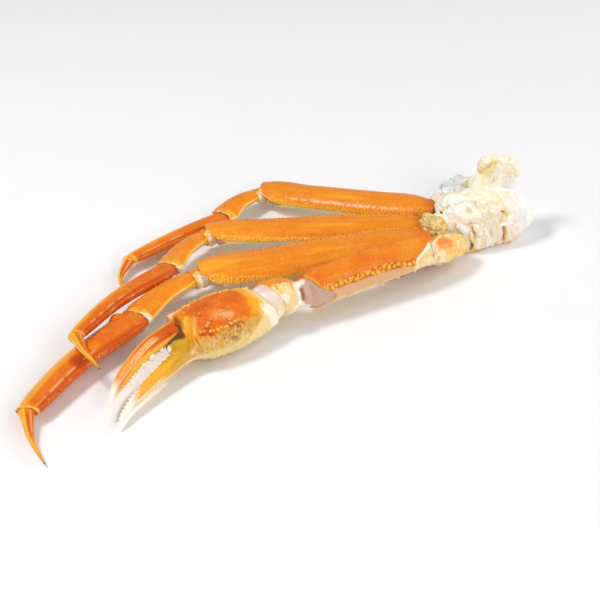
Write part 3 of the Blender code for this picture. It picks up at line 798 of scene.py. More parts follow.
def merus_piece(name, segment, look, draw):
    """The long segment: bead rows, serrated far edge, cream underside and pink joint skin."""
    detail = MERUS_DETAIL[name]
    g = Grid(segment, 0.5, 120)
    s, d, e = g.s, g.deg, g.e
    lip = ramp(e, 16, 0) * ramp(d, 158, 112) * (0.5 + 0.5 * ramp(d, 20, 75)) * ramp(d, 4, 34)
    g.slide(detail["lip"] * lip, 1)
    g.relief += 0.12 * detail["lip"] * lip * ramp(e, 0, 2)
    edge = smooth_values(detail["edge"], s[:, 0], 1)[:, None]
    past = d - edge
    grains = g.noise(1.6, 11)

    beads = 0 * g.relief
    for offset in detail["rows"]:
        table = [(place, angle - offset) for place, angle in detail["edge"]]
        row = g.bead_row(table, BEAD_PITCH, detail["bead"] * 1.1, draw, (0.05, 0.985))
        beads = np.maximum(beads, row)
    saw = 0 * g.relief
    for angle in SAW_ANGLES:
        saw = np.maximum(saw, g.bead_row(angle, BEAD_PITCH, 0.8, draw, (0.05, 0.97), 1.5))
    grit = g.grit(200, draw, 48, 150)
    g.relief += 0.9 * detail["bead"] * beads + detail["saw"] * saw + 0.16 * grit
    g.relief += 0.12 * g.noise(7, 3) - 0.25 * band(past, 8, 16, 6)
    pressed = ramp(s, detail["pressed"] + 0.04, detail["pressed"] - 0.04)
    held = pressed * ramp(s, 0, 0.06)
    drawn_in = (1 - held) * ramp(past, 3, 28) * ramp(d, 330, 290)
    g.relief -= detail["under"] * drawn_in * band(s, 0.1, 0.9, 0.1)
    g.relief += 0.6 * held * band(past, 8, 70, 8)
    fold = e - read_table(detail["skin"], d)
    skin = ramp(fold, 0.5, -0.5)
    g.relief += 0.35 * band(fold, 0.2, 1.6, 0.5) + skin * (0.3 * g.noise(3.5, 5) - 0.9)
    far_side = ramp(d, 60, 30) + ramp(d, 320, 345)
    g.relief += detail["wide"] * ramp(s, 0.7, 0.4) * ramp(s, 0, 0.1) * far_side

    top = band(d, 60, 120, 40)
    golden = ramp(past, -detail["band"] - 12, -detail["band"] * 0.3) * ramp(past, 6, 0)
    below = ramp(past, 1, 9) * ramp(d, 366, 330)
    # The underside pressed against the next leg is painted red instead of cream: painted shade between
    # the legs.
    pressed = pressed * below * ramp(past, 40, 25)
    below = below - pressed
    g.paint(
        streak=g.grain(22, 1.6, 21),
        bright=0.75 * top * ramp(g.streaks(30, 3, 8), -0.2, 0.6),
        deep=detail["deep"] * ramp(d, 66, 30) * ramp(d, 0, 20) * (0.8 + 0.4 * grains),
        red=detail["saw"] * band(d, 30, 44, 4) * (1 - ramp(saw, 0.0, 0.4)),
        gold=0.55 * grit + detail["saw"] * 1.2 * ramp(saw, 0.5, 0.9)
        + golden * (0.55 + 0.5 * beads + 0.3 * grains),
        cream=below * (0.85 + 0.3 * grains) + 0.35 * golden * ramp(beads, 0.6, 0.95),
    )
    g.paint(
        # Red in the gaps between the golden beads and on the pressed underside is painted shade.
        red=0.5 * golden * (1 - ramp(beads, 0, 0.3)) * ramp(past, -detail["band"] * 0.9, -6)
        + 0.8 * pressed,
        deep=0.7 * ramp(s, 0.14, 0.03) * ramp(d, 180, 100),
        bruise=0.5 * ramp(s, 0.18, 0.08) * band(d, 135, 205, 20) * ramp(grains, -0.4, 0.4),
    )
    g.fade("deep streak bright", below)
    g.fade("deep streak bright gold cream red", skin)
    lip_edge = band(fold, 0.3, 1.3, 0.6) * band(d, 125, 225, 30)
    g.paint(lilac=0.9 * skin, white=0.5 * skin * band(fold, -1.6, -0.6, 0.6), gold=0.8 * lip_edge)
    if name == "leg_c":
        ridge = g.line(RIDGE_C, 0.8)
        g.paint(cream=0.45 * ridge * g.blots(6, 33, -0.5, 0.2))
        g.relief += 0.25 * ridge
    if name == "leg_a":
        g.paint(dark=g.near(SPECK_A, 0.9))
    g.add(name + "_merus_shell", name + "_merus", look, "shell", (0.5, 2.2))


# Small lumps of the knee's skin, by the next segment: place and angle.
KNEE_LUMPS = (
    (0.74, 112), (0.62, 124), (0.82, 132), (0.68, 146), (0.84, 160), (0.7, 174), (0.8, 194), (0.66, 216),
)


def knee_piece(name, segment, look, draw):
    """Joint skin: orange above, small cream lumps by the next segment, a pink fold on the near side."""
    g = Grid(segment, 0.2, 112)
    s, d = g.s, g.deg
    body = band(s, 0.1, 0.9, 0.1)
    lumps = g.drawn_bumps([g.spot(*place) for place in KNEE_LUMPS], draw, 1.1, 1.8)
    over = ramp(d + 6 * g.noise(3, 4), 112, 94) + ramp(d, 315, 340)
    border = 0.56 + 0.05 * g.noise(4, 6)
    sheet = ramp(s, border + 0.05, border - 0.05) * band(d, 122, 240, 12)
    creases = peak(s, border + 0.05, 0.035) * band(d, 105, 210, 12)
    g.relief += body * (0.6 + 0.8 * lumps + 0.3 * g.noise(2.4, 9) - 1.4 * over - 0.9 * creases)
    g.relief += sheet * (0.5 + 0.5 * peak(s, 0.3, 0.16)) * band(s, 0.05, 1, 0.15)
    hidden = ramp(s, 0.6, 0.4) * ramp(d, 150, 118) * ramp(d, 4, 34)
    g.relief -= hidden * (g.relief + 1.0)
    g.paint(
        bright=over * (0.85 + 0.3 * g.noise(3, 8)),
        gold=0.9 * band(d, 100, 126, 10) + 0.85 * (1 - ramp(lumps, 0, 0.35)) * (1 - sheet),
        cream=ramp(lumps, 0.1, 0.5) * (1 - over),
        lilac=0.9 * sheet,
        # White on the lumps' tops and along the fold at 0.34 is painted highlight.
        white=0.3 * ramp(lumps, 0.6, 0.9) * g.blots(1.8, 14, -0.2, 0.3)
        + 0.5 * sheet * peak(s, 0.34, 0.08),
        # The brown and dark in the creases are painted shade.
        bruise=0.7 * creases,
        dark=0.35 * creases * g.blots(2, 6, 0, 0.5),
    )
    g.fade("gold cream", sheet)
    g.add(name + "_knee_skin", name + "_knee", look, "membrane")


# For each leg: how strong the carpus's notch and serration are, and the height of the propodus's
# ridges and how red it is.
CARPUS_DETAIL = {"leg_a": (0.2, 0.1), "leg_b": (1, 0.1), "leg_c": (1, 0.3)}
PROPODUS_DETAIL = {"leg_a": (0.7, 0.0), "leg_b": (0.85, 0.38), "leg_c": (1.0, 0.34)}


def carpus_piece(name, segment, look, draw):
    """The wrist-like segment: a golden near edge, a low ridge and a broken cream lip at its end."""
    notch_share, saw_share = CARPUS_DETAIL[name]
    g = Grid(segment, 0.36, 112)
    s, d, e = g.s, g.deg, g.e
    grains, lumps = g.noise(1.6, 11), g.noise(2.4, 31)
    start = ramp(g.x, 8, 0) * (ramp(d, 128, 100) + ramp(d, 300, 330))
    cover = (0.9 + 1.6 * g.noise(3.4, 41)) * ramp(e, 2.2, 0.4) * band(d, 10, 180, 20)
    g.slide(-1.8 * start, 0)
    g.slide(cover, 1)
    edge = 152 + 8 * s
    rim = peak(d, edge, 6)
    ridge = peak(d, 96 + 8 * s, 9) * band(s, 0.15, 0.85, 0.15)
    under = ramp(d, edge + 3, edge + 26) * ramp(d, 330, 290)
    fan = band(d, 112, 168, 14) * ramp(e + 1.4 * lumps, 3.8, 2.0)
    notch = notch_share * peak(d, 96, 5) * ramp(e, 4, 1.5)
    saw = g.bead_row(36, 2.1, 0.7, draw, (0.1, 0.9), 3)
    saw = np.maximum(saw, g.bead_row(45, 2.6, 0.6, draw, (0.1, 0.9), 4))
    grit = g.grit(90, draw, 45, 140)
    g.relief += 0.45 * rim + 0.3 * ridge + 0.14 * g.noise(6, 2) + 0.16 * grit
    g.relief += 0.15 * band(e, 0.2, 1.4, 0.7) - 0.2 * band(e, 2.6, 3.4, 0.8) - 0.4 * notch
    g.relief += 1.1 * peak(d, edge, 24) * band(s, 0.3, 0.62, 0.25)
    g.relief += fan * (0.3 + 0.6 * lumps) - 1.1 * under * band(s, 0.12, 0.9, 0.1)
    g.relief += saw_share * saw
    g.paint(
        streak=g.grain(14, 1.5, 22),
        bright=0.4 * band(d, 60, 135, 25) * g.blots(9, 5, -0.2, 0.5),
        gold=0.4 * grit + 0.9 * ramp(d, edge - 16, edge - 3) * ramp(d, edge + 20, edge + 6),
        cream=0.9 * peak(d, edge + 1, 4) * ramp(s, 0.05, 0.3)
        + 0.75 * ramp(d, edge + 8, edge + 24) * ramp(d, 366, 335),
        pink=0.5 * band(d, 200, 330, 20),
        deep=0.5 * ramp(s, 0.16, 0.02) * ramp(d, 120, 80) + 0.3 * ramp(d, 70, 30) + 0.6 * notch,
    )
    g.paint(
        gold=0.75 * ramp(e, 4.5, 1.0) * band(d, 60, 175, 15) * (0.7 + 0.6 * grains) + 0.9 * fan,
        tan=0.5 * under * band(d, 160, 200, 10),
        cream=0.95 * fan * ramp(lumps, -0.25, 0.2)
        + 0.9 * band(e, 0, 0.5, 0.4) * ramp(lumps, -0.4, 0.1) * band(d, 20, 175, 20),
        # The thin white line along the rim is a painted highlight.
        white=0.8 * fan * ramp(lumps, 0.15, 0.45)
        + 0.5 * peak(d, edge, 2.5) * ramp(g.streaks(6, 3, 4), 0, 0.4),
        bruise=0.4 * fan * ramp(lumps, -0.25, -0.5),
    )
    g.add(name + "_carpus_shell", name + "_carpus", look, "shell", (1.8, 0.8))


# A painted shadow on the propodus of leg c, where leg b's tip lies over it: centres and radii.
SHADOW_ON_C = (((-113, -37.9, 11.2), 8), ((-113, -38.5, 10.8), 7))


def propodus_piece(name, segment, look, draw):
    """The long slim segment: a golden far margin, ridges, and a red, beaded near side."""
    g = Grid(segment, 0.42, 104)
    s, d, e = g.s, g.deg, g.e
    thick, ruddy = PROPODUS_DETAIL[name]
    ridge_1, ridge_2, ridge_0 = peak(d, 128 + 4 * s, 6), peak(d, 160, 7), peak(d, 70, 9)
    valley = peak(d, 144, 8) + 0.6 * peak(d, 98, 16)
    body = band(s, 0.06, 0.95, 0.04)
    beads = g.bead_row(158, 1.3, 0.5, draw, (0.1, 0.95), 3)
    beads = np.maximum(beads, g.bead_row(170, 1.5, 0.45, draw, (0.1, 0.95), 4))
    front = band(d, 60, 200, 25)
    collar = band(e, 3.2, 4.4, 1.0) * front
    g.slide(0.8 * ramp(e, 1.8, 0.3) * band(d, 10, 180, 20), 1)
    ridges = 0.5 * ridge_1 + 0.4 * ridge_2 + 0.25 * ridge_0
    g.relief += thick * body * (ridges - 0.3 * valley + 0.25 * beads)
    g.relief += 0.12 * g.noise(6, 2) + 0.25 * collar + 0.15 * ramp(e, 1.2, 0.4) * front
    lines = g.streaks(18, 2.5, 5)
    g.paint(
        streak=g.grain(26, 1.4, 22),
        gold=0.62 * ramp(d + 22 * lines, 118, 62) * ramp(s + 0.1 * lines, 0.1, 0.6)
        * ramp(d + 20 * lines, 0, 30)
        + 0.6 * ramp(d + 8 * lines, 60, 46) * ramp(d + 16 * lines, 6, 30) * (0.8 + 0.5 * g.noise(5, 17)),
        bright=0.5 * band(d, 60, 130, 15) * g.blots(10, 3, -0.3, 0.4),
        # The deeper and redder near side is partly the shell's own tone and partly painted shade.
        deep=0.66 + 0.3 * g.noise(6, 9) + 0.4 * ramp(d + 6 * lines, 126, 144) * ramp(d, 240, 210),
        red=ruddy * (0.8 + 0.4 * g.noise(5, 18)) + 0.4 * peak(d, 144, 6) * body
        + 0.35 * ramp(d + 6 * lines, 140, 162) * ramp(d, 240, 205) * ramp(lines, -0.4, 0.3),
        # The pinkish blush along the first ridge is a painted highlight.
        blush=0.75 * ridge_1 * band(s, 0.45, 0.93, 0.1) * g.blots(5, 6, -0.3, 0.2),
        cream=0.7 * beads * g.blots(3, 8, -0.2, 0.4)
        + 0.6 * ramp(e + 1.6 * g.noise(2, 4), 0.6, 0.1) * band(d, 20, 165, 20),
    )
    g.paint(
        gold=0.8 * ramp(e + g.noise(3, 14), 2.2, 1.0) * front
        + 0.6 * ramp(d, 250, 285) * ramp(d, 366, 330),
        white=0.7 * g.near(g.spot(0.985, 40), 1.8),
    )
    if name == "leg_c":
        lobe = g.near(g.spot(0.09, 30), 6.0)
        g.relief += 2.0 * lobe
        # The red and dark here are a painted shadow, cast by leg b's tip.
        shadow_reddened, shadow_darkened = (g.near(*stain_and_shadow) for stain_and_shadow in SHADOW_ON_C)
        g.paint(bright=0.6 * lobe, red=1.5 * shadow_reddened, dark=0.45 * shadow_darkened)
    g.add(name + "_propodus_shell", name + "_propodus", look, "shell", (0.8, 1.0))


def dactyl_piece(name, segment, look, _):
    """The pointed last segment: grooved, golden on its far edge, with a dark tip."""
    g = Grid(segment, 0.33, 80)
    s, d = g.s, g.deg
    near_groove = peak(d, 158, 11)
    groove = peak(d, 96, 12) + near_groove
    body = band(s, 0.08, 0.98, 0.05) * (1 - 0.8 * s)
    across = np.abs(np.cos(np.radians(d)))
    g.relief += body * (0.35 * (peak(d, 124, 9) + peak(d, 66, 10)) - 0.4 * groove)
    g.relief += 0.3 * band(g.x, 0.4, 1.6, 0.8) * (1 - s)
    g.relief -= segment.half_width * 0.27 * across * ramp(s, 0.0, 0.2) * ramp(s, 1.1, 0.6)
    g.paint(
        streak=g.grain(14, 1.1, 22),
        deep=0.6 * band(d, 80, 200, 12) * ramp(s, 0.8, 0.4),
        gold=0.75 * ramp(s, 0.35, 0.8) + ramp(d, 96, 70) + 0.5 * band(d, 180, 230, 20),
        cream=0.8 * band(d, 22, 36, 8) * band(s, 0.15, 0.85, 0.1)
        + 0.4 * ramp(g.x + 1.5 * g.noise(2, 5), 0.8, 0.1) * band(d, 20, 110, 20),
        red=0.6 * groove * ramp(s, 0.98, 0.7) * ramp(s, 0.02, 0.15),
        bruise=0.4 * groove * ramp(s, 0.9, 0.4) * ramp(s, 0.02, 0.2),
        blush=0.8 * peak(d, 124, 7) * band(s, 0.06, 0.4, 0.1),
        olive=0.6 * ramp(s, 0.6, 0.9),
        dark=ramp(s, 0.955, 0.99),
    )
    g.add(name + "_dactyl_shell", name + "_dactyl", look, "shell", (0.4, 0.0))


# ---------------------------------------------------------------- the claw arm


WRIST_INSIDE = 0.8  # how far the skin of the wrist runs into its neighbours, in mm


def arm_segments():
    """The claw arm's segments, by name, with the joint skins drawn out into their neighbours."""
    knee, palm_face = np.array(ARM_KNEE, float), unit(np.array(PALM_START_FACE, float))
    back = unit(np.array(ARM_ROOT, float) - knee)
    palm_start, carpus_end = np.array(PALM_START, float), np.array(ARM_CARPUS_END, float)
    merus_end = knee + back * ARM_KNEE_REACH[0]
    carpus_start = knee - back * ARM_KNEE_REACH[1]
    middle = (carpus_start + carpus_end) / 2 + np.array(ARM_CARPUS_BOW)
    carpus_faces = unit(carpus_end - carpus_start), palm_face
    inner_end = carpus_start + carpus_faces[0] * JOINT_INSIDE
    knee_line = [merus_end + back * JOINT_INSIDE, knee, inner_end]
    wrist_line = [carpus_end - palm_face * WRIST_INSIDE, palm_start + palm_face * WRIST_INSIDE]
    return {
        "arm_merus": Segment(
            [ARM_ROOT, merus_end], ARM_MERUS, "arm_merus", ARM_MERUS_LEAN, lens=1, lobes=ARM_MERUS_LOBES
        ),
        "arm_knee": Segment(
            knee_line, ARM_KNEE_SIZE, "arm_joint", faces=(-back, carpus_faces[0]), lens=1
        ),
        "arm_carpus": Segment(
            [carpus_start, middle, carpus_end], ARM_CARPUS, "arm_carpus", 0, carpus_faces, lens=1
        ),
        "arm_wrist": Segment(
            wrist_line, ARM_WRIST, "arm_joint", CLAW_LEAN / 2, (palm_face, palm_face), lens=1
        ),
        "palm": Segment(
            [palm_start, PALM_END], PALM, "palm", CLAW_LEAN, (palm_face, None), lens=PALM_LENS
        ),
        "fixed": Segment(FIXED_FINGER, FIXED_SIZE, "finger", CLAW_LEAN, lens=1),
        "moving": Segment(MOVING_FINGER, MOVING_SIZE, "finger", CLAW_LEAN, lens=1),
    }


# How far the arm's shell stops before its end, as (angle, mm): the joint skin shows beyond.
ARM_SKIN = (
    (70, -1), (92, 0.3), (112, 2.6), (134, 5.2), (158, 9.5), (180, 13.5), (200, 12), (215, 6), (250, -1),
)

# How far the first segment's cream skin reaches over the arm's start, as (angle, mm).
ARM_COLLAR = (
    (96, -2), (112, 0.4), (130, 2.6), (146, 4.8), (160, 7), (176, 9), (200, 9.5), (240, 4), (280, -2),
)


def row_fall(place):
    """How many degrees lower the arm's row of beads runs near its start."""
    return 24 * ramp(place, 0.4, 0.04)


def arm_merus_piece(segment, look, draw):
    """Orange above, a row of tipped beads, a peach side and small cream spines below it."""
    g = Grid(segment, 0.4, 128)
    s, d, e = g.s, g.deg, g.e
    g.slide(-2.6 * ramp(g.x, 6, 0), 0)
    grains = g.noise(1.5, 11)
    spots, small_spots = [], []
    for k in range(21):
        place = 0.04 + 0.88 * k / 20
        angle = 148 + draw.uniform(-4, 4) + 10 * ramp(place, 0.7, 0.95) + row_fall(place)
        spots.append(g.spot(place + draw.uniform(-0.01, 0.01), angle))
    for k in range(64):
        place = 0.04 + 0.9 * k / 63
        angle = draw.choice((132, 138, 144, 155, 160)) + draw.uniform(-3, 3)
        angle += 8 * ramp(place, 0.7, 0.95) + row_fall(place)
        small_spots.append(g.spot(place, angle))
    tall = g.drawn_bumps(spots, draw, 0.75, 1.25)
    small = g.drawn_bumps(small_spots, draw, 0.4, 0.8)
    thorn_spots = [g.spot(place, 201) for place in (0.14, 0.28, 0.42, 0.56, 0.7)]
    thorns = g.round_bumps(thorn_spots, [0.9] * len(thorn_spots))
    grit = g.grit(160, draw, 60, 140)
    border = peak(d, 200, 5)
    fold = e - read_table(ARM_SKIN, d)
    skin = ramp(fold, 0.5, -0.5)
    edge_spots = []
    for angle in range(88, 160, 8):
        edge_spots.append(g.spot(1 - (read_table(ARM_SKIN, angle) + 1.2) / segment.length, angle))
    edge_beads = g.drawn_bumps(edge_spots, draw, 0.6, 1.0)
    g.relief += (1.1 * tall + 0.6 * small) * (1 - skin) + 1.3 * thorns + 0.16 * grit + 0.3 * border
    g.relief += 0.2 * g.noise(7, 2) + 0.35 * band(fold, 0.2, 1.4, 0.5)
    g.relief += skin * (0.5 * g.noise(5, 61) - 0.9) + 0.4 * edge_beads
    swell = skin * (peak(e - 0.06 * (d - 150), 4.5, 1.2) + 0.7 * peak(e - 0.1 * (d - 150), 8.5, 1.0))
    g.relief += 0.5 * swell
    middle = band(s, 0.25, 0.7, 0.2)
    behind = ramp(d, 105, 70) + ramp(d, 310, 335)
    g.relief += (1.4 * band(s, 0.03, 0.9, 0.05) + 0.6 * middle) * behind
    g.relief -= 2.0 * middle * band(d, 228, 280, 26)

    fall = row_fall(s)
    side = ramp(d - fall + 4 * grains, 157, 167) * ramp(d, 362, 320)
    row = band(d - 8 * ramp(s, 0.7, 0.95) - fall, 137, 160, 5)
    knobs = np.maximum(tall, 0.8 * small)
    low = side * ramp(d, 206, 190)
    g.paint(
        streak=g.grain(20, 2.2, 21),
        bright=0.35 * band(d, 80, 145, 20) * g.blots(14, 4, -0.3, 0.4),
        deep=0.7 * ramp(d, 84, 50) + 0.5 * g.line(((21, -24, 27), (35, -21, 27.5)), 5),
        gold=0.4 * grit + 0.95 * ramp(knobs, 0.1, 0.6) + 0.3 * row + 0.8 * edge_beads,
        # Red and brown in the gaps between the row's beads are painted shade.
        red=0.9 * row * (1 - ramp(knobs, 0.0, 0.35)) * ramp(grains, -0.6, 0.2),
        bruise=0.35 * band(d - fall, 142, 160, 6) * (1 - ramp(knobs, 0.0, 0.3))
        * g.blots(2, 55, -0.4, 0.2),
        peach=0.95 * low,
        tan=0.6 * low * g.blots(1.8, 51, -0.1, 0.4),
        cream=0.9 * ramp(knobs, 0.6, 0.95) * g.blots(2.2, 52, -0.3, 0.2)
        + thorns + side * ramp(d, 189, 197) + 0.5 * low * g.blots(1.2, 53, 0.2, 0.5),
    )
    g.fade("streak bright deep", side)
    g.fade("deep streak bright gold cream red peach pink bruise", skin)
    g.paint(
        lilac=skin,
        # Pink on the swollen folds of the joint skin is a painted highlight on their tops.
        pink=0.35 * skin * g.blots(8, 62, -0.6, 0.6, 1) + 0.7 * swell,
        cream=border * (0.9 + 0.3 * grains),
    )
    over = read_table(ARM_COLLAR, d) - g.x + 1.2 * g.noise(3, 64)
    collar = ramp(over, -0.6, 0.6)
    ridge = peak(over, 0.6, 0.9) * band(d, 108, 170, 10)
    lumps = curds(g.P, 2.4, 5)
    g.relief += collar * (0.4 + 0.5 * lumps) + 0.5 * ridge
    g.fade("streak bright deep gold red peach pink bruise", collar)
    g.paint(
        cream=collar,
        white=0.4 * collar * ramp(lumps, 0.4, 0.8) + 0.8 * ridge,
        gold=collar * (0.35 + 0.5 * ramp(lumps, 0.3, 0.0)) * (1 - ridge),
    )
    g.add("arm_merus_shell", "arm_merus", look, "shell", (0.5, 1.2))


# Swollen folds of the arm's joint skin: place, angle and radius.
ARM_KNEE_LOBES = ((0.42, 102, 3.0), (0.7, 118, 2.4), (0.66, 146, 2.2), (0.72, 178, 3.0), (0.4, 214, 3.4))


def arm_knee_piece(segment, look):
    """The arm's joint skin: a pink fold, swollen cream folds beside it and one hollow darkened with
    painted shade.
    """
    g = Grid(segment, 0.2, 120)
    s, d = g.s, g.deg
    body = band(s, 0.06, 0.94, 0.06)
    over = ramp(d, 98, 82) + ramp(d, 320, 345)
    lobe_spots = [g.spot(place, angle) for place, angle, _ in ARM_KNEE_LOBES]
    lobes = g.round_bumps(lobe_spots, [radius for _, _, radius in ARM_KNEE_LOBES])
    hollow = g.line((g.spot(0.52, 132), g.spot(0.52, 150), g.spot(0.54, 176)), 1.9)
    crease = g.line((g.spot(0.55, 118), g.spot(0.5, 138), g.spot(0.5, 165), g.spot(0.6, 190)), 1.0)
    sheet = ramp(s, 0.54, 0.44) * band(d, 116, 208, 12)
    g.relief += 1.4 * ramp(s, 0.5, 0.0) + 1.2 * ramp(s, 0.55, 1.0)
    g.relief += body * (0.5 + 0.8 * lobes + 0.3 * g.noise(3, 9) + 0.6 * sheet)
    g.relief -= 0.6 * crease + 1.3 * hollow
    g.relief += 0.7 * peak(s, 0.34, 0.1) * band(d, 112, 205, 12)
    g.paint(
        bright=over,
        gold=0.6 * band(d, 88, 128, 14) * g.blots(2.5, 31, -0.3, 0.3),
        cream=0.9 * (1 - over) * (1 - sheet),
        lilac=sheet,
        pink=0.45 * sheet * g.blots(8, 62, -0.6, 0.6, 1),
        # White on the lobes' tops is a painted highlight.
        white=0.8 * ramp(lobes, 0.4, 0.9) * g.blots(2.2, 14, -0.4, 0.2) * (1 - over),
        # Brown and dark in the crease and the hollow are painted shade.
        bruise=0.3 * crease + 0.6 * ramp(hollow, 0.1, 0.9),
        dark=0.15 * ramp(hollow, 0.6, 0.95),
    )
    g.add("arm_knee_skin", "arm_knee", look, "membrane")


def arm_carpus_piece(segment, look):
    """Orange band over the top, and a cream body with orange and golden drips."""
    g = Grid(segment, 0.3, 136)
    d, e = g.deg, g.e
    grains, blots = g.noise(1.3, 11), g.noise(2.6, 8)
    drips = g.drips(0.9, 40, 43)
    bumps = g.round_bumps([(-3.5, -36.5, 22.5), (-6.5, -34.5, 23.5), (-1, -37.5, 20.5)], [1.2, 1.1, 0.9])
    g.relief += 0.3 * band(e, 0.2, 1.4, 0.7) + 0.3 * g.noise(6, 2) + 0.5 * bumps
    g.relief += ramp(d, 85, 110) * (0.2 * drips + 0.3 * g.noise(2, 12))
    top = ramp(d, 100, 80) * ramp(d, 4, 20)
    body = ramp(d + 12 * drips + 6 * blots, 86, 102) * ramp(d, 366, 330)
    g.paint(
        streak=g.grain(12, 2, 21),
        bright=0.5 * top,
        cream=body * (0.95 + 0.3 * grains) + 0.9 * bumps,
        white=0.7 * band(d, 125, 230, 25) * g.blots(3.5, 5, -0.3, 0.3),
        gold=body * ramp(drips + 0.6 * grains, 0.1, 0.4) * ramp(d, 160, 112),
        tan=0.3 * band(e, 1.6, 2.4, 0.5) * ramp(d, 100, 130),
    )
    drop = body * ramp(drips + 0.6 * blots, 0.12, 0.4) * ramp(d, 150, 104)
    g.fade("streak", body)
    g.fade("cream white gold", 0.85 * drop)
    g.paint(bright=drop)
    g.add("arm_carpus_shell", "arm_carpus", look, "shell", (1.6, 0.6))


def arm_wrist_piece(segment, look):
    """The smooth pinkish white crescent between the arm and the claw, narrow at its lower end."""
    g = Grid(segment, 0.22, 136)
    s, d = g.s, g.deg
    g.relief += 1.0 * np.sin(np.clip(s, 0, 1) * math.pi) ** 0.6 + 0.2 * g.noise(5, 3)
    crescent = ramp(d - 42 * s, 132, 118) * ramp(d, 40, 62)
    rest = ramp(d - 42 * s, 122, 134) * ramp(d, 330, 300)
    g.paint(
        pink=0.9 * crescent,
        white=0.45 * crescent * g.blots(7, 5, -0.4, 0.3) + 0.2 * rest,
        cream=rest,
        # The brown line along the crescent's edge (the second term) is painted shade.
        bruise=0.5 * ramp(s, 0.12, 0.04) * ramp(d, 60, 90) + 0.35 * peak(d - 42 * s, 127, 3),
        bright=0.9 * band(d, 20, 56, 8),
    )
    g.add("arm_wrist_skin", "arm_wrist", look, "membrane")


# Tubercles of the palm's face: where they stand and their radius.
TUBERCLES = (
    ((-52.8, -50.3, 19.1), 0.9), ((-51.2, -50.6, 19.2), 1.1), ((-48.1, -51.3, 18.8), 1.2),
    ((-46.6, -51.2, 18.8), 0.9), ((-44.4, -51.3, 18.7), 1.2), ((-42.3, -50.4, 19.2), 1.0),
    ((-39.7, -50.6, 18.8), 1.2), ((-37.2, -49.4, 19.5), 1.1), ((-37.2, -47.8, 20.6), 0.8),
    ((-34.7, -48.8, 19.7), 1.2), ((-32.9, -48.3, 19.7), 1.0), ((-30.6, -48.3, 18.9), 0.8),
    ((-47.9, -47.0, 21.3), 1.1), ((-49.2, -48.3, 20.6), 1.0), ((-50.4, -46.2, 21.4), 0.8),
    ((-46.2, -45.6, 22.0), 0.8), ((-40.9, -44.4, 22.6), 1.0), ((-36.1, -40.9, 23.5), 0.9),
    ((-40.6, -42.1, 23.3), 0.8), ((-50.5, -40.5, 23.4), 0.8), ((-52.5, -38.7, 23.3), 0.8),
    ((-46.9, -38.3, 24.0), 0.7), ((-57.2, -35.0, 22.4), 0.9), ((-33.5, -51.5, 17.2), 0.8),
    ((-38.0, -52.6, 16.6), 0.8), ((-42.5, -53.4, 16.0), 0.7),
)

# Where the palm's orange face and its cream rim end at the wrist: angle, and mm along the palm.
FACE_END = (
    (0, 4), (40, 4.5), (76, 5.3), (102, 4.9), (126, 6.1), (146, 8.5), (160, 13.4), (174, 18.3), (200, 32),
    (360, 45),
)
RIM_END = (
    (0, 0.2), (40, 1.2), (62, 2.2), (76, 2.2), (102, 1.6), (128, 0.6), (150, -1), (300, -1), (360, 0.2),
)


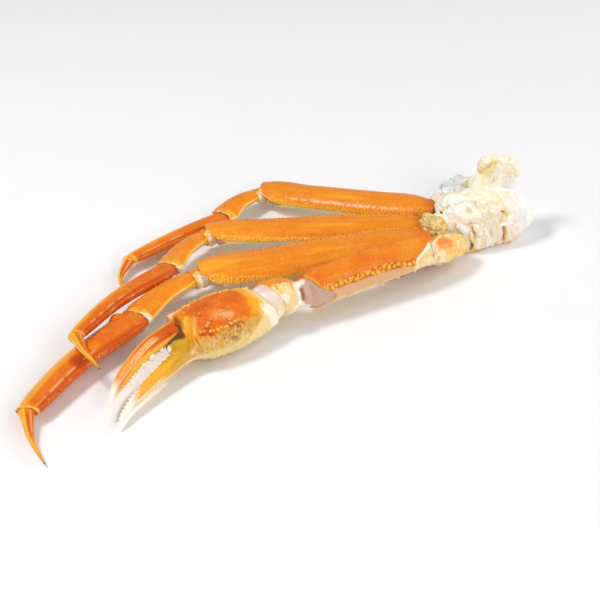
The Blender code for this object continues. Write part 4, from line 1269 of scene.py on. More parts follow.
def palm_grid(segment, draw):
    """The palm: an orange face with tubercles, drips below it, a granular tan side, a cream rim."""
    g = Grid(segment, 0.36, 210)
    d, x, e = g.deg, g.x, g.e
    grains, patches, sand = g.noise(1.5, 11), g.noise(5, 6), g.noise(0.9, 13, 2)
    edge_spots, edge_radii = [], []
    for k in range(26):
        place = min(1, 0.05 + 0.93 * k / 25 + draw.uniform(-0.008, 0.008))
        edge_spots.append(g.spot(place, 38 + draw.uniform(-3, 3)))
        edge_radii.append(draw.uniform(0.9, 1.3))
    edge = g.round_bumps(edge_spots, edge_radii)
    spots, radii = [spot for spot, _ in TUBERCLES], [radius * 1.15 for _, radius in TUBERCLES]
    knobs = g.round_bumps(spots, radii)
    shade = g.round_bumps(np.array(spots) - (0, 0.5, 0.9), [radius * 1.7 for radius in radii])
    shade = shade * (1 - ramp(knobs, 0.0, 0.4))
    fine = g.grit(110, draw, 55, 168)
    saw = g.bead_row(176, 1.7, 0.8, draw, (0.1, 0.98), 6)
    lower_saw = g.bead_row(206, 1.9, 0.9, draw, (0.1, 0.98), 6)
    drips, threads = g.drips(1.15, 45, 41), g.drips(0.7, 60, 45)
    fringe = band(d, 114, 142, 8) * band(x, 14, 42, 3)
    low = ramp(d + 6 * drips, 122, 134) * ramp(d + 14 * drips, 372, 326)
    g.relief += 1.3 * edge + 0.9 * knobs + 0.22 * fine + 0.4 * saw + 0.6 * lower_saw - 0.35 * shade
    g.relief += 0.35 * g.noise(9, 2) + 0.35 * fringe * drips
    g.relief += low * (0.3 * g.noise(2.6, 12) + 0.12 * sand)

    face = x - read_table(FACE_END, d)
    rim = x - read_table(RIM_END, d)
    orange = ramp(face + 1.0 * grains + 0.8 * patches, -1.2, 1.2)
    g.paint(
        streak=0.35 + 0.8 * g.noise(3, 21),
        deep=orange * ramp(face, 0.6, 6) * (0.6 + 0.5 * patches) * ramp(d, 130, 118) * ramp(e, 1, 7),
        red=0.55 * g.line(((-53.5, -36.5, 23.5), (-45.5, -36.0, 24.5)), 7.5) * ramp(d, 100, 84),
        bright=0.9 * band(face, 0.4, 3.8, 3.5) * ramp(d, 132, 120)
        + 0.7 * ramp(e, 7, 2) * ramp(d, 60, 80),
        gold=low * ramp(d + 6 * threads, 146, 130) * (0.85 + 0.4 * patches),
        tan=low * ramp(d + 8 * grains, 126, 138) * (0.95 + 0.3 * g.noise(2.2, 44) + 0.3 * sand),
        cream=0.75 * low * ramp(d + 14 * g.noise(2.4, 47), 154, 186),
    )
    g.paint(
        cream=0.6 * low * ramp(threads + 0.5 * g.noise(1.8, 48), -0.05, 0.35) * ramp(d, 136, 156)
        + 0.5 * np.maximum(saw, lower_saw),
        gold=0.6 * low * ramp(threads + 0.4 * g.noise(3, 50), 0.05, 0.35),
        bruise=0.5 * low * ramp(threads + 0.5 * sand, 0.15, 0.5) * ramp(d, 180, 140),
    )
    g.paint(cream=1 - orange)
    g.fade("deep streak bright gold tan bruise", 1 - orange)
    g.paint(
        gold=0.8 * band(face + 1.2 * grains, -1.6, 0.6, 1.0)
        + 0.5 * (1 - orange) * g.blots(3, 46, 0.25, 0.5) * ramp(d, 100, 125)
    )
    g.fade("cream", 0.5 * band(face + 1.2 * grains, -1.4, 0.4, 0.8))
    drip = fringe * ramp(drips + 0.3 * threads, -0.1, 0.2) * ramp(d + 22 * drips, 152, 130)
    g.fade("tan cream gold bruise", 0.85 * drip)
    g.paint(
        deep=0.8 * drip,
        bruise=0.6 * fringe * ramp(drips, -0.05, -0.35) * g.blots(2, 52, -0.3, 0.3),
        white=0.7 * band(rim, 1.2, 4.5, 2) * ramp(d, 100, 130) * (1 - orange),
    )
    inside = ramp(rim, 0.35, -0.35)
    g.fade("cream white gold", inside)
    # The brown line along the rim's edge is painted shade.
    g.paint(pink=0.9 * inside, bruise=0.5 * band(rim, -0.05, 0.15, 0.3) * ramp(d, 150, 120))
    g.relief += 0.3 * band(rim, 0.3, 1.6, 0.6) - 0.3 * ramp(rim, 0.2, -1.2)
    g.paint(
        red=0.7 * ramp(shade, 0.15, 0.7) * ramp(d, 142, 128),
        bright=0.9 * ramp(knobs, 0.1, 0.5),
        gold=0.9 * edge + 0.5 * ramp(knobs, 0.5, 0.9),
        cream=0.6 * ramp(knobs, 0.75, 0.98) * ramp(grains, -0.4, 0.1) + 0.75 * ramp(edge, 0.6, 0.95),
        # The pinkish blush on the face is a painted highlight.
        blush=0.85 * g.line(((-42.5, -43.5, 22.8), (-36.5, -45, 22.0)), 6.0) * (0.8 + 0.6 * patches)
        + 0.4 * g.near((-49, -47.5, 21), 4),
    )
    stain_and_shadow = g.line(((-41, -53.8, 14.4), (-36, -53.0, 15.0), (-33.0, -50.9, 17.2)), 6.0)
    g.paint(
        mauve=0.85 * stain_and_shadow * ramp(g.noise(1.4, 31) + 0.4 * sand, -0.25, 0.35),
        dark=0.8 * stain_and_shadow * g.blots(1.1, 35, 0.2, 0.4),
    )
    for spot in ((-38.2, -40.4, 23.7), (-31.0, -37.4, 24.2), (-30.4, -38.2, 24.1)):
        g.paint(dark=0.9 * g.near(spot, 0.75))
    return g


def tooth_row(finger, draw, count, start, run, angle, sizes, taper):
    """The places and radii of a finger's small teeth, which run from a start along its length."""
    spots, radii = [], []
    for k in range(count):
        place = start + run * k / (count - 1)
        spots.append(finger.spot(place, angle + draw.uniform(-3, 3)))
        radii.append(draw.uniform(*sizes) * (taper[0] - place * taper[1]))
    return spots, radii


def fixed_finger_grid(segment, draw):
    """The fixed finger: pearly teeth, golden streaks, a cream outer side and a white tip."""
    f = Grid(segment, 0.33, 110)
    s, d = f.s, f.deg
    spots, radii = tooth_row(f, draw, 18, 0.24, 0.68, 24, (1.05, 1.35), (1.25, 0.6))
    teeth = f.round_bumps(spots, radii, [radius * 0.75 for radius in radii])
    shade = peak(d, 60, 9) * band(s, 0.15, 0.9, 0.08)
    keel = peak(d, 150, 14) * band(s, 0.1, 0.85, 0.1)
    lines, hairs = f.streaks(18, 1.1, 9), f.streaks(9, 0.6, 19)
    f.relief += teeth - 0.35 * shade * (1 - s) + 0.3 * keel
    f.relief += 0.25 * peak(d, 100, 10) * band(s, 0.3, 0.85, 0.1)
    f.relief += 0.15 * f.noise(5, 2) + 0.1 * lines
    slimmer = 0.2 * band(s, 0.25, 0.75, 0.2) + 0.1 * ramp(s, 0.6, 0.9)
    f.relief -= segment.half_width * slimmer * band(d, 130, 250, 40)
    tip = ramp(s + 0.0012 * (90 - d) + 0.05 * lines, 0.56, 0.84)
    f.paint(
        streak=0.4 + 0.9 * f.streaks(16, 1.4, 22),
        gold=0.9 * ramp(d + 16 * lines, 124, 104)
        + 0.8 * ramp(hairs, -0.1, 0.3) * ramp(d, 195, 150) * ramp(s, 0.8, 0.5),
        olive=(0.9 * ramp(s, 0.46, 0.16) + 0.6 * ramp(f.streaks(12, 1.2, 33), -0.1, 0.3))
        * ramp(d, 128, 100),
        tan=0.8 * ramp(s + 0.1 * lines, 0.5, 0.2) * ramp(d, 100, 124) * ramp(d, 190, 160),
        deep=0.6 * band(d, 74, 94, 8) * band(s, 0.26, 0.62, 0.08) * ramp(lines, -0.2, 0.3),
        cream=0.8 * ramp(d + 18 * lines, 104, 124) * ramp(s, 0.34, 0.5)
        + 0.8 * ramp(d + 14 * lines, 156, 172),
        bright=0.85 * band(d + 6 * lines, 124, 136, 6) * band(s, 0.26, 0.7, 0.06)
        + 0.8 * f.line(((-88.5, -70.5, 9), (-95.5, -76, 7.5)), 1.5),
        white=tip + 0.6 * ramp(hairs, 0.0, 0.4) * ramp(d, 105, 120) * ramp(s, 0.4, 0.6)
        + 0.95 * ramp(teeth, 0.25, 0.6),
    )
    f.fade("deep olive gold cream bright tan", tip)
    f.paint(gold=0.9 * band(d, 38, 58, 8) * (1 - ramp(teeth, 0.15, 0.4)) * ramp(s, 0.95, 0.7))
    return f


def knuckle_grid():
    """The knob beside the finger's hinge: a golden rim around a white hollow."""
    k = Grid(Segment([(-71.0, -31.0, 13.0), (-62.5, -29.6, 14.5)], (9.5, 10.5), "knee", lens=1), 0.3, 72)
    hollow = k.near((-61.7, -28.0, 18.2), 3.2)
    k.relief += 0.4 * k.noise(3, 5) + 0.6 * k.near((-64.6, -29.5, 17.0), 2) - 1.0 * hollow
    k.paint(
        gold=0.7 + 0.4 * k.noise(2, 3),
        cream=0.9 * k.near((-64.6, -29.5, 17.0), 2.6),
        white=1.2 * k.near((-61.7, -28.0, 18.2), 4.8),
        blush=0.5 * hollow,
    )
    return k


# How the palm, the fixed finger and the knuckle grow together: filler ellipsoids as centre and half
# sizes, the mesh's step in mm, and the line about which the joint is smoothed, with its radius.
PALM_FILLERS = (((-64, -48.5, 12.5), (6.5, 6.0, 6.0)), ((-61.5, -42.5, 12), (4.5, 7.5, 7.5)))
PALM_STEP = 0.4
PALM_JOINT = ((-62, -50, 12), (-61, -41, 14))
PALM_JOINT_RADIUS = 11
JOINT_ROUNDS = 70
BLEND_WIDTH = 1.9  # of the passage between two grown parts, in mm

# The hinge, where the palm narrows into its finger: its outer and inner ridge, the groove between
# them and a crease, each as points and width.
HINGE_LINES = (
    (((-57.5, -39.5, 22.2), (-59.6, -45, 20.0), (-61.0, -50, 16.5), (-63.0, -55, 13.5)), 2.4),
    (((-53.6, -42.5, 22.5), (-54.8, -47.5, 20.5), (-56.4, -52, 17.0), (-59.0, -56.5, 13.0)), 2.6),
    (((-56.0, -42.5, 22.3), (-57.4, -47.5, 19.5), (-58.6, -52.0, 16.5)), 1.4),
    (((-56.2, -52.5, 17.0), (-55.2, -54.5, 14.6), (-54.2, -56.0, 12.0)), 0.8),
)


def palm_piece(palm, finger, look, draw):
    """The palm with its fixed finger and knuckle, grown into one surface."""
    grids = [palm_grid(palm, draw), fixed_finger_grid(finger, draw), knuckle_grid()]
    points, normals, faces = grown_together(grids)
    g = Painted(points, normals)
    blend(g, grids)
    x, y, z = points.T
    outer, inner, groove, crease = (g.line(*line) for line in HINGE_LINES)
    web = g.line(((-55.5, -43.4, 21.8), (-58, -50, 17.5)), 4)
    g.relief += 0.9 * outer + 0.6 * inner - 0.5 * groove - 0.5 * crease
    g.fade("deep red streak", 0.8 * g.line(((-58, -41, 21.5), (-60, -50, 16)), 7))
    g.paint(
        gold=0.8 * outer + 0.6 * web,
        # The blush and white on the inner ridge are painted highlights; the deeper groove and the dark
        # crease are painted shade.
        blush=0.5 * inner * ramp(y, -52, -46),
        white=0.65 * inner * ramp(y, -52, -55),
        deep=0.9 * groove,
        dark=0.55 * crease,
    )
    # The olive and dark in the hinge's gap are painted shade.
    hinge = ramp(x, -59.8, -61.4) * ramp(z, 8, 11) * ramp(y, -51.5, -49) * ramp(y, -35.5, -38)
    g.fade("gold bright cream red", hinge)
    g.paint(olive=0.9 * hinge, dark=0.8 * hinge * ramp(z, 11, 14))
    raised = points + normals * g.relief[:, None]
    add_piece("claw_palm_shell", raised, faces, g.masks, look, "shell", ["claw_palm"])


def grown_together(grids):
    """One even mesh around the palm's grids and filler ellipsoids, smoothed near their joint."""
    shape = bmesh.new()
    for grid in grids:
        relief, grid.relief = grid.relief, 0 * grid.relief
        points, groups, _ = grid.arrays((0.3, 0.3))
        grid.relief = relief
        corners = [shape.verts.new(point * MM) for point in points]
        for group in groups:
            for face in group:
                shape.faces.new([corners[k] for k in face])
    for centre, half in PALM_FILLERS:
        scale = Matrix.Diagonal((*(value * MM for value in half), 1))
        place = Matrix.Translation(Vector(centre) * MM) @ scale
        bmesh.ops.create_icosphere(shape, subdivisions=4, radius=1, matrix=place)
    bmesh.ops.recalc_face_normals(shape, faces=shape.faces)
    mesh = bpy.data.meshes.new("grown")
    shape.to_mesh(mesh)
    shape.free()
    points, _, faces = even_mesh(mesh, PALM_STEP, 3)
    away = distance_to_line(points, PALM_JOINT)
    weight = ramp(away, PALM_JOINT_RADIUS, PALM_JOINT_RADIUS * 0.55)[:, None]
    pairs = []
    for group in faces:
        for k in range(group.shape[1]):
            pairs.append(np.stack([group[:, k], np.roll(group, -1, 1)[:, k]], -1))
    pairs = np.concatenate(pairs)
    for _ in range(JOINT_ROUNDS):
        points = points + 0.5 * weight * (neighbour_mean(points, pairs) - points)
    return points, vertex_normals(points, faces), faces


def neighbour_mean(points, pairs):
    """The mean of each point's neighbours over the edges in pairs, each of which runs both ways."""
    total = np.zeros_like(points)
    count = np.bincount(pairs.ravel(), minlength=len(points))
    for axis in range(3):
        total[:, axis] = np.bincount(pairs[:, 0], points[pairs[:, 1], axis], len(points))
        total[:, axis] += np.bincount(pairs[:, 1], points[pairs[:, 0], axis], len(points))
    return total / np.maximum(count, 1)[:, None]


def vertex_normals(points, faces):
    """The normal of each point, from the faces about it."""
    found = np.zeros_like(points)
    for group in faces:
        one, other = points[group[:, 2]] - points[group[:, 0]], points[group[:, -1]] - points[group[:, 1]]
        side = np.cross(one, other)
        for k in range(group.shape[1]):
            for axis in range(3):
                found[:, axis] += np.bincount(group[:, k], side[:, axis], len(points))
    return unit(found + 1e-12)


def blend(surface, grids):
    """Gives a surface the relief and masks of the grids that it was grown from."""
    weights, picks = [], []
    for grid in grids:
        flat = grid.P.reshape(-1, 3)
        tree = KDTree(len(flat))
        for k, point in enumerate(flat.tolist()):
            tree.insert(point, k)
        tree.balance()
        found = [tree.find(point)[1:] for point in surface.P.tolist()]
        picks.append(np.array([index for index, _ in found]))
        weights.append(peak(np.array([away for _, away in found]), 0, BLEND_WIDTH))
    total = sum(weights) + 1e-9
    for weight, pick, grid in zip(weights, picks, grids):
        share = weight / total
        surface.relief += share * grid.relief.reshape(-1)[pick]
        for name, mask in grid.masks.items():
            part = share * np.clip(mask.reshape(-1)[pick], 0, 1)
            surface.masks[name] = surface.masks.get(name, 0) + part


def join_parts(name, parts, look, slot, nodes):
    """One piece from several closed surfaces."""
    points, groups, keys, offset = [], {}, set(), 0
    for _, _, masks in parts:
        keys |= set(masks)
    fields = {key: [] for key in sorted(keys)}
    for spots, faces, masks in parts:
        for group in faces:
            groups.setdefault(group.shape[1], []).append(group + offset)
        points.append(spots)
        offset += len(spots)
        for key in fields:
            fields[key].append(masks.get(key, np.zeros(len(spots))))
    faces = [np.concatenate(groups[size]) for size in sorted(groups)]
    masks = {key: np.concatenate(stack) for key, stack in fields.items()}
    return add_piece(name, np.concatenate(points), faces, masks, look, slot, nodes)


def finger_piece(segment, look, draw):
    """The moving finger: a golden upper edge, an orange back with a painted pinkish highlight, teeth and
    a white tip.
    """
    f = Grid(segment, 0.3, 112)
    s, d = f.s, f.deg
    spots, radii = tooth_row(f, draw, 15, 0.38, 0.52, 188, (0.95, 1.25), (1.3, 0.75))
    spots = [f.spot(place, 192) for place, _ in MOLARS] + spots
    radii = [radius for _, radius in MOLARS] + radii
    teeth = f.round_bumps(spots, radii, [radius * 0.95 for radius in radii])
    edge = peak(d, 46, 9) * band(s, 0.05, 0.9, 0.05)
    shelf = peak(d, 148, 10) * band(s, 0.05, 0.8, 0.05)
    groove = peak(d, 130, 8) * band(s, 0.08, 0.85, 0.06)
    lines, pores = f.streaks(16, 1.2, 29), f.noise(0.9, 17, 1)
    f.relief += teeth + 0.3 * edge + 0.3 * shelf - 0.3 * groove + 0.15 * f.noise(5, 2) + 0.1 * lines
    f.relief += 0.12 * f.noise(2.2, 19) * ramp(s, 0.6, 0.4)
    f.relief -= segment.half_width * 0.16 * np.abs(np.cos(np.radians(d))) * ramp(s, 0.6, 0.9)
    tip = ramp(s - 0.0006 * (d - 90) + 0.05 * lines, 0.58, 0.86)
    f.paint(
        streak=0.4 + 0.9 * f.streaks(16, 1.6, 22),
        gold=0.95 * edge + 0.95 * ramp(d + 8 * lines, 134, 148) * ramp(d, 230, 205)
        + 0.6 * ramp(d, 62, 46) + 0.7 * ramp(f.streaks(14, 0.8, 39), 0.1, 0.4) * ramp(d, 70, 84),
        deep=0.85 * band(d, 62, 128, 14) * ramp(s, 0.6, 0.2) + 0.8 * groove,
        red=0.6 * band(d, 70, 126, 12) * ramp(s, 0.3, 0.03)
        + 0.2 * groove * ramp(lines, -0.2, 0.4),
        bright=0.5 * band(d, 50, 120, 15) * band(s, 0.3, 0.6, 0.1) * ramp(lines, -0.2, 0.3),
        # The pinkish blush along the back is a painted highlight.
        blush=0.8 * band(d + 12 * lines, 84, 120, 12) * band(s, 0.24, 0.74, 0.1)
        * ramp(f.streaks(12, 1.5, 14), -0.3, 0.2),
        pink=0.3 * band(d, 80, 130, 20) * band(s, 0.6, 0.78, 0.1),
        bruise=0.6 * ramp(pores, 0.5, 0.7) * band(d, 75, 124, 10) * band(s, 0.15, 0.6, 0.05),
        # Olive and dark at the base, by the hinge's gap, are painted shade.
        olive=0.8 * ramp(s, 0.16, 0.02) * ramp(d, 120, 140) * ramp(d, 230, 200),
        dark=0.85 * ramp(s, 0.03, 0.0) * ramp(d, 70, 95) * ramp(d, 230, 200),
        cream=ramp(d, 205, 230) * ramp(d, 366, 345) + 0.5 * band(d, 150, 162, 6),
        white=tip + 0.95 * ramp(teeth, 0.25, 0.6) + 0.8 * f.near((-67.5, -46.8, 15.2), 2.2),
    )
    f.fade("deep gold blush olive bright", 0.9 * tip)
    f.add("claw_finger_shell", "claw_finger", look, "shell", (0.4, 0.0))


# ---------------------------------------------------------------- meshes from the frame's solids


def even_mesh(mesh, voxel, smoothing):
    """An evenly meshed copy of a closed surface: points in mm, normals and faces."""
    copy = bpy.data.objects.new("even", mesh)
    bpy.context.scene.collection.objects.link(copy)
    remesh = copy.modifiers.new("even", "REMESH")
    remesh.mode = "VOXEL"
    remesh.voxel_size = voxel * MM
    smooth = copy.modifiers.new("smooth", "SMOOTH")
    smooth.factor = 0.5
    smooth.iterations = smoothing
    bpy.context.view_layer.update()
    graph = bpy.context.evaluated_depsgraph_get()
    result = bpy.data.meshes.new_from_object(copy.evaluated_get(graph))
    bpy.data.objects.remove(copy)
    points = np.zeros(len(result.vertices) * 3)
    result.vertices.foreach_get("co", points)
    points = points.reshape(-1, 3) / MM
    groups = {}
    for face in result.polygons:
        groups.setdefault(len(face.vertices), []).append(face.vertices[:])
    faces = [np.array(groups[size]) for size in sorted(groups)]
    for used in (mesh, result):
        bpy.data.meshes.remove(used)
    return points, vertex_normals(points, faces), faces


def finer(node, voxel, smoothing):
    """The evenly meshed surface of a CAD solid."""
    return even_mesh(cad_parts[node].data.copy(), voxel, smoothing)


def curds(points, size, seed=0):
    """Round lumps of about that size with sharp creases between them: 0 in a crease, up to 1."""
    return np.clip(2.4 * np.abs(clouds(points, size, seed)), 0, 1)


# Folds of the shoulder's front, as lines of (x, z): mask, its strength, height in mm (negative for a
# crease), width and line.
# The creases in the brown bruise tone are painted shade in slits and hollows.
FRONT_FOLDS = (
    ("cream", 0.7, 1.4, 2.8, ((111.5, 17.5), (113.5, 13), (114, 8), (113, 4))),
    ("yellow", 0.5, 0.0, 1.3, ((113, 14.5), (115, 9), (114.6, 4))),
    ("white", 0.5, 1.1, 1.9, ((114.7, 17), (117.5, 13.5), (119, 8.5), (117.8, 2.5))),
    ("pink", 0.6, 0.9, 2.0, ((119.3, 17.4), (122, 13.5), (122.7, 8.5), (120.6, 4.5))),
    ("pink", 0.5, 1.2, 2.2, ((122.7, 18.5), (125.5, 14), (126.8, 9), (125.9, 3.5))),
    ("cream", 0.5, 1.0, 1.8, ((130.5, 12), (131.6, 8.5), (130.8, 4.5))),
    ("pink", 0.5, 0.6, 1.8, ((134.5, 11), (134.8, 6.5))),
    ("white", 1.0, 1.5, 1.2, ((126.5, 15.5), (128.8, 14.4), (131, 13.6), (134.5, 12), (137, 10.2))),
    ("white", 0.7, 0.8, 3.4, ((102.8, 17.5), (105.3, 15.8), (108.2, 13.4))),
    ("pink", 0.6, 0.5, 4.5, ((100.2, 19), (99, 14.2))),
    ("gold", 0.8, -1.3, 0.9, ((110.6, 15.5), (111.2, 12), (110.8, 8.5), (109.4, 6))),
    ("bruise", 0.9, -1.6, 1.5, ((108.8, 8), (109.6, 6), (109.2, 3))),
    ("yellow", 0.7, -0.8, 0.9, ((115.6, 15), (116.4, 11), (116, 5))),
    ("yellow", 0.7, -0.8, 0.9, ((119.8, 14), (120.8, 9), (119.2, 4.5))),
    ("gold", 0.9, -1.8, 1.5, ((127.6, 13), (129, 8.8), (128, 4))),
    ("bruise", 0.9, -0.4, 0.8, ((128, 12), (129, 8.8), (128.3, 5))),
    ("yellow", 0.6, -0.7, 1.0, ((124, 16.5), (123.6, 12.5), (124.3, 8))),
    ("gold", 0.7, -0.5, 0.8, ((116.2, 0.3), (118.8, 1.8))),
    ("yellow", 0.8, -2.0, 2.2, ((128.2, 22), (129.6, 20))),
    ("bruise", 1.0, -1.2, 1.1, ((128.2, 21.7), (129.3, 20.3))),
    ("yellow", 0.6, 0.3, 1.0, ((118.8, 23), (121.5, 22.6), (122.7, 21), (122.7, 18.5))),
    ("yellow", 0.5, -0.6, 1.2, ((139.5, 23.5), (142, 22))),
    ("gold", 0.5, -0.9, 1.2, ((103.5, 21.5), (101, 20.2), (98, 19.6))),
    ("cream", 0.4, 0.8, 3.0, ((104, 21.5), (109, 20.5), (114, 21))),
    ("gold", 0.5, -0.8, 0.8, ((107, 18.0), (110.5, 18.6), (114, 18.4))),
)

# Folds of its top, as lines of (x, y), in the same way.
TOP_FOLDS = (
    ("white", 0.6, 1.0, 3.4, ((98, 8), (101.5, 6), (106.5, 5.5), (112, 5), (116, 2))),
    ("white", 0.6, 0.8, 2.8, ((99, 2), (104, 0.5), (109.5, -0.5), (113.5, -3.5))),
    ("gold", 0.6, -1.0, 0.9, ((99.5, 3.6), (103, 3.4), (104.5, 2.4))),
    ("gold", 0.5, -0.9, 0.8, ((108, 2.6), (111, 2.4), (114, 0.6))),
    ("dark", 0.9, -1.4, 0.9, ((96.8, 6.7), (96.9, 5.4))),
    ("gold", 0.6, -1.2, 1.3, ((109.6, -2), (111.2, -2.8))),
    ("gold", 0.6, -1.2, 1.2, ((115, -0.3), (115.2, -2.8))),
    ("white", 0.3, 0.9, 2.6, ((130.6, 10), (125.4, 11.5), (119, 13), (110, 9))),
)

# Folds of the thin flap above it, as lines of (x, z).
FLAP_FOLDS = (
    ("white", 0.5, 1.5, 1.7, ((121.8, 43.5), (121.2, 40.5), (122.6, 37.8))),
    ("yellow", 1.0, -1.3, 3.0, ((123.8, 36.6), (126.4, 39.6), (129.6, 41.6), (132.5, 41.8))),
    ("gold", 0.4, -0.2, 1.2, ((124.2, 37.2), (126.6, 39.8), (129.4, 41.4))),
    ("yellow", 0.6, -0.7, 1.2, ((124.8, 42.2), (126.2, 40.4))),
    ("white", 0.4, 0.9, 1.5, ((126.5, 43), (130, 43.2), (133.5, 42.6), (135.2, 41.5))),
    ("white", 0.4, 0.9, 1.5, ((135, 41.5), (139, 40.5), (142.5, 38.6), (145.4, 35))),
    ("yellow", 0.4, -0.7, 1.3, ((135.8, 36), (138, 33.5), (139.4, 31.5))),
    ("yellow", 0.3, -0.6, 1.2, ((141, 38), (142, 34.5), (141.5, 31))),
    ("white", 0.5, 0.6, 1.7, ((133.4, 39.5), (134.2, 34.4), (136.2, 27))),
    ("yellow", 0.8, -0.8, 1.0, ((130.3, 33), (129.4, 31), (128.5, 29))),
)

FLAP_NECK = (131, 10, 39)  # where the flap's folds fan out from


def shoulder_piece(look):
    """The shoulder: crumbly white meat, smooth skin on its slope, folds in front, a thin flap above."""
    points, normals, faces = finer("shoulder_meat", 0.45, 9)
    g = Painted(points, normals)
    x, y, z = points.T
    front = ramp(y, 3, -4) * ramp(normals[:, 1], 0.1, -0.45) * ramp(x, 94, 100)
    top = ramp(normals[:, 2], 0.1, 0.5) * ramp(z, 31, 28)
    flap = ramp(z, 29.0, 32.5)
    slope = ramp(y, 7, 11) * ramp(x, 132, 124)
    slope_edge = ramp(g.line(((115, 9, 29), (121, 1, 28.5), (127, -2, 28.5)), 8), 0, 0.4)
    slope = np.maximum(slope, slope_edge) * (1 - flap)
    right = ramp(x, 134, 141) * (1 - flap)
    warp = np.stack([clouds(points, 4, seed) for seed in (4, 14, 24)], -1)
    away = points - np.array(FLAP_NECK)
    bearing = np.arctan2(away[:, 2], away[:, 0] + 0.4 * away[:, 1]) + 0.05 * warp[:, 0]
    reach = np.linalg.norm(away, axis=-1)
    fan = curds(np.stack([bearing * 6, reach / 18, y / 40], -1), 1, 9)
    crumbly = np.clip(1 - flap - slope - 0.85 * front - right, 0, 1)
    lumps, small = curds(points + 1.4 * warp, 5.0, 3), curds(points + 0.8 * warp, 1.9, 8)
    folds = curds((points + 1.6 * warp) * (1, 0.5, 0.3), 3.6, 31)
    g.relief += crumbly * (1.5 * lumps + 0.7 * small - 1.0)
    g.relief += front * (1.5 * folds + 0.35 * small - 0.9)
    g.relief += (slope + flap) * (0.7 * fan - 0.2) + 0.25 * right * small + 0.3 * g.noise(9, 2)
    g.relief -= 2.2 * g.near((113, 22, 28), 13) * ramp(y, 14, 19)
    warm = g.blots(7, 27, -0.25, 0.25)
    g.paint(
        cream=0.8 * slope + 0.75 * flap + 0.5 * front * g.blots(5, 12, -0.3, 0.3)
        + 0.5 * crumbly * ramp(small, 0.4, 0.1),
        yellow=(0.75 * flap + 0.5 * slope) * ramp(fan, 0.3, 0.0)
        + 0.6 * front * ramp(folds, 0.3, 0.08) + 0.6 * crumbly * warm * ramp(lumps, 0.35, 0.05),
        pink=0.8 * front * ramp(z, 26, 20) * ramp(folds, 0.1, 0.4)
        * (1 - ramp(x, 128, 134) * ramp(z, 12, 16)),
        gold=0.4 * front * warm * ramp(folds, 0.14, 0.02)
        + 0.5 * crumbly * warm * ramp(lumps, 0.14, 0.02),
        white=0.8 * right + 0.5 * (slope + flap) * ramp(fan, 0.5, 0.9)
        + 0.7 * crumbly * ramp(lumps, 0.3, 0.7),
    )
    shift = 0.9 * np.stack([clouds(points, 3, 17), clouds(points, 3, 18)], -1)
    uneven = g.blots(2.6, 19, -0.7, 0.1)
    for table, pick, part in (
        (FRONT_FOLDS, [0, 2], front),
        (TOP_FOLDS, [0, 1], top),
        (FLAP_FOLDS, [0, 2], flap * ramp(normals[:, 1], 0.3, -0.1)),
    ):
        for mask, strength, height, width, line in table:
            distance = distance_to_line(points[:, pick] + shift, line)
            fold = ramp(distance, width, 0) * part * uneven
            g.relief += height * fold
            g.fade("white pink cream yellow gold", strength * ramp(fold, 0.1, 0.6))
            g.paint(**{mask: strength * ramp(fold, 0.1, 0.6)})
            if height < -1:
                g.paint(yellow=0.5 * part * ramp(distance, width * 1.9, width * 0.7))
    g.paint(
        bright=0.5 * front * peak(x, 125.9, 2.2) * peak(z, 16.2, 1.2)
        + 0.5 * ramp(z, 2.5, 0.8) * g.blots(4, 41, -0.3, 0.2) * ramp(y, 5, -2),
        gold=0.6 * ramp(z, 4, 1.5) * ramp(y, 5, -2) * g.blots(5, 42, -0.3, 0.3),
    )
    stub = g.line(((86.5, 4.0, 20), (90.5, -1.5, 19.5), (93.5, -4.5, 17.0)), 8.0)
    stub = ramp(stub * ramp(x, 99, 95), 0, 0.4)
    g.relief += stub * (0.7 * lumps + 0.4 * small)
    g.fade("white cream pink yellow gold", 0.95 * stub)
    specks = g.blots(1.6, 37, 0.05, 0.35)
    g.paint(
        olive=stub * (0.7 + 0.5 * g.noise(3, 36)) * (1 - 0.5 * specks),
        yellow=0.7 * stub,
        cream=0.7 * stub * specks,
        white=0.4 * stub * specks * g.blots(5, 38, 0, 0.3),
        dark=0.7 * g.line(((96.0, -5.5, 17.5), (96.5, -5.8, 15.5)), 1.3),
        bruise=0.5 * stub * ramp(lumps, 0.2, 0.0)
        + 0.8 * g.line(((84.5, 6.5, 19.5), (85.5, 2.0, 19.0), (86.0, -2.5, 18.5)), 1.8),
    )
    raised = points + normals * g.relief[:, None]
    raised[:, 2] = np.maximum(raised[:, 2], 0.02)
    add_piece("shoulder_meat_form", raised, faces, g.masks, look, "meat", ["shoulder_meat"])


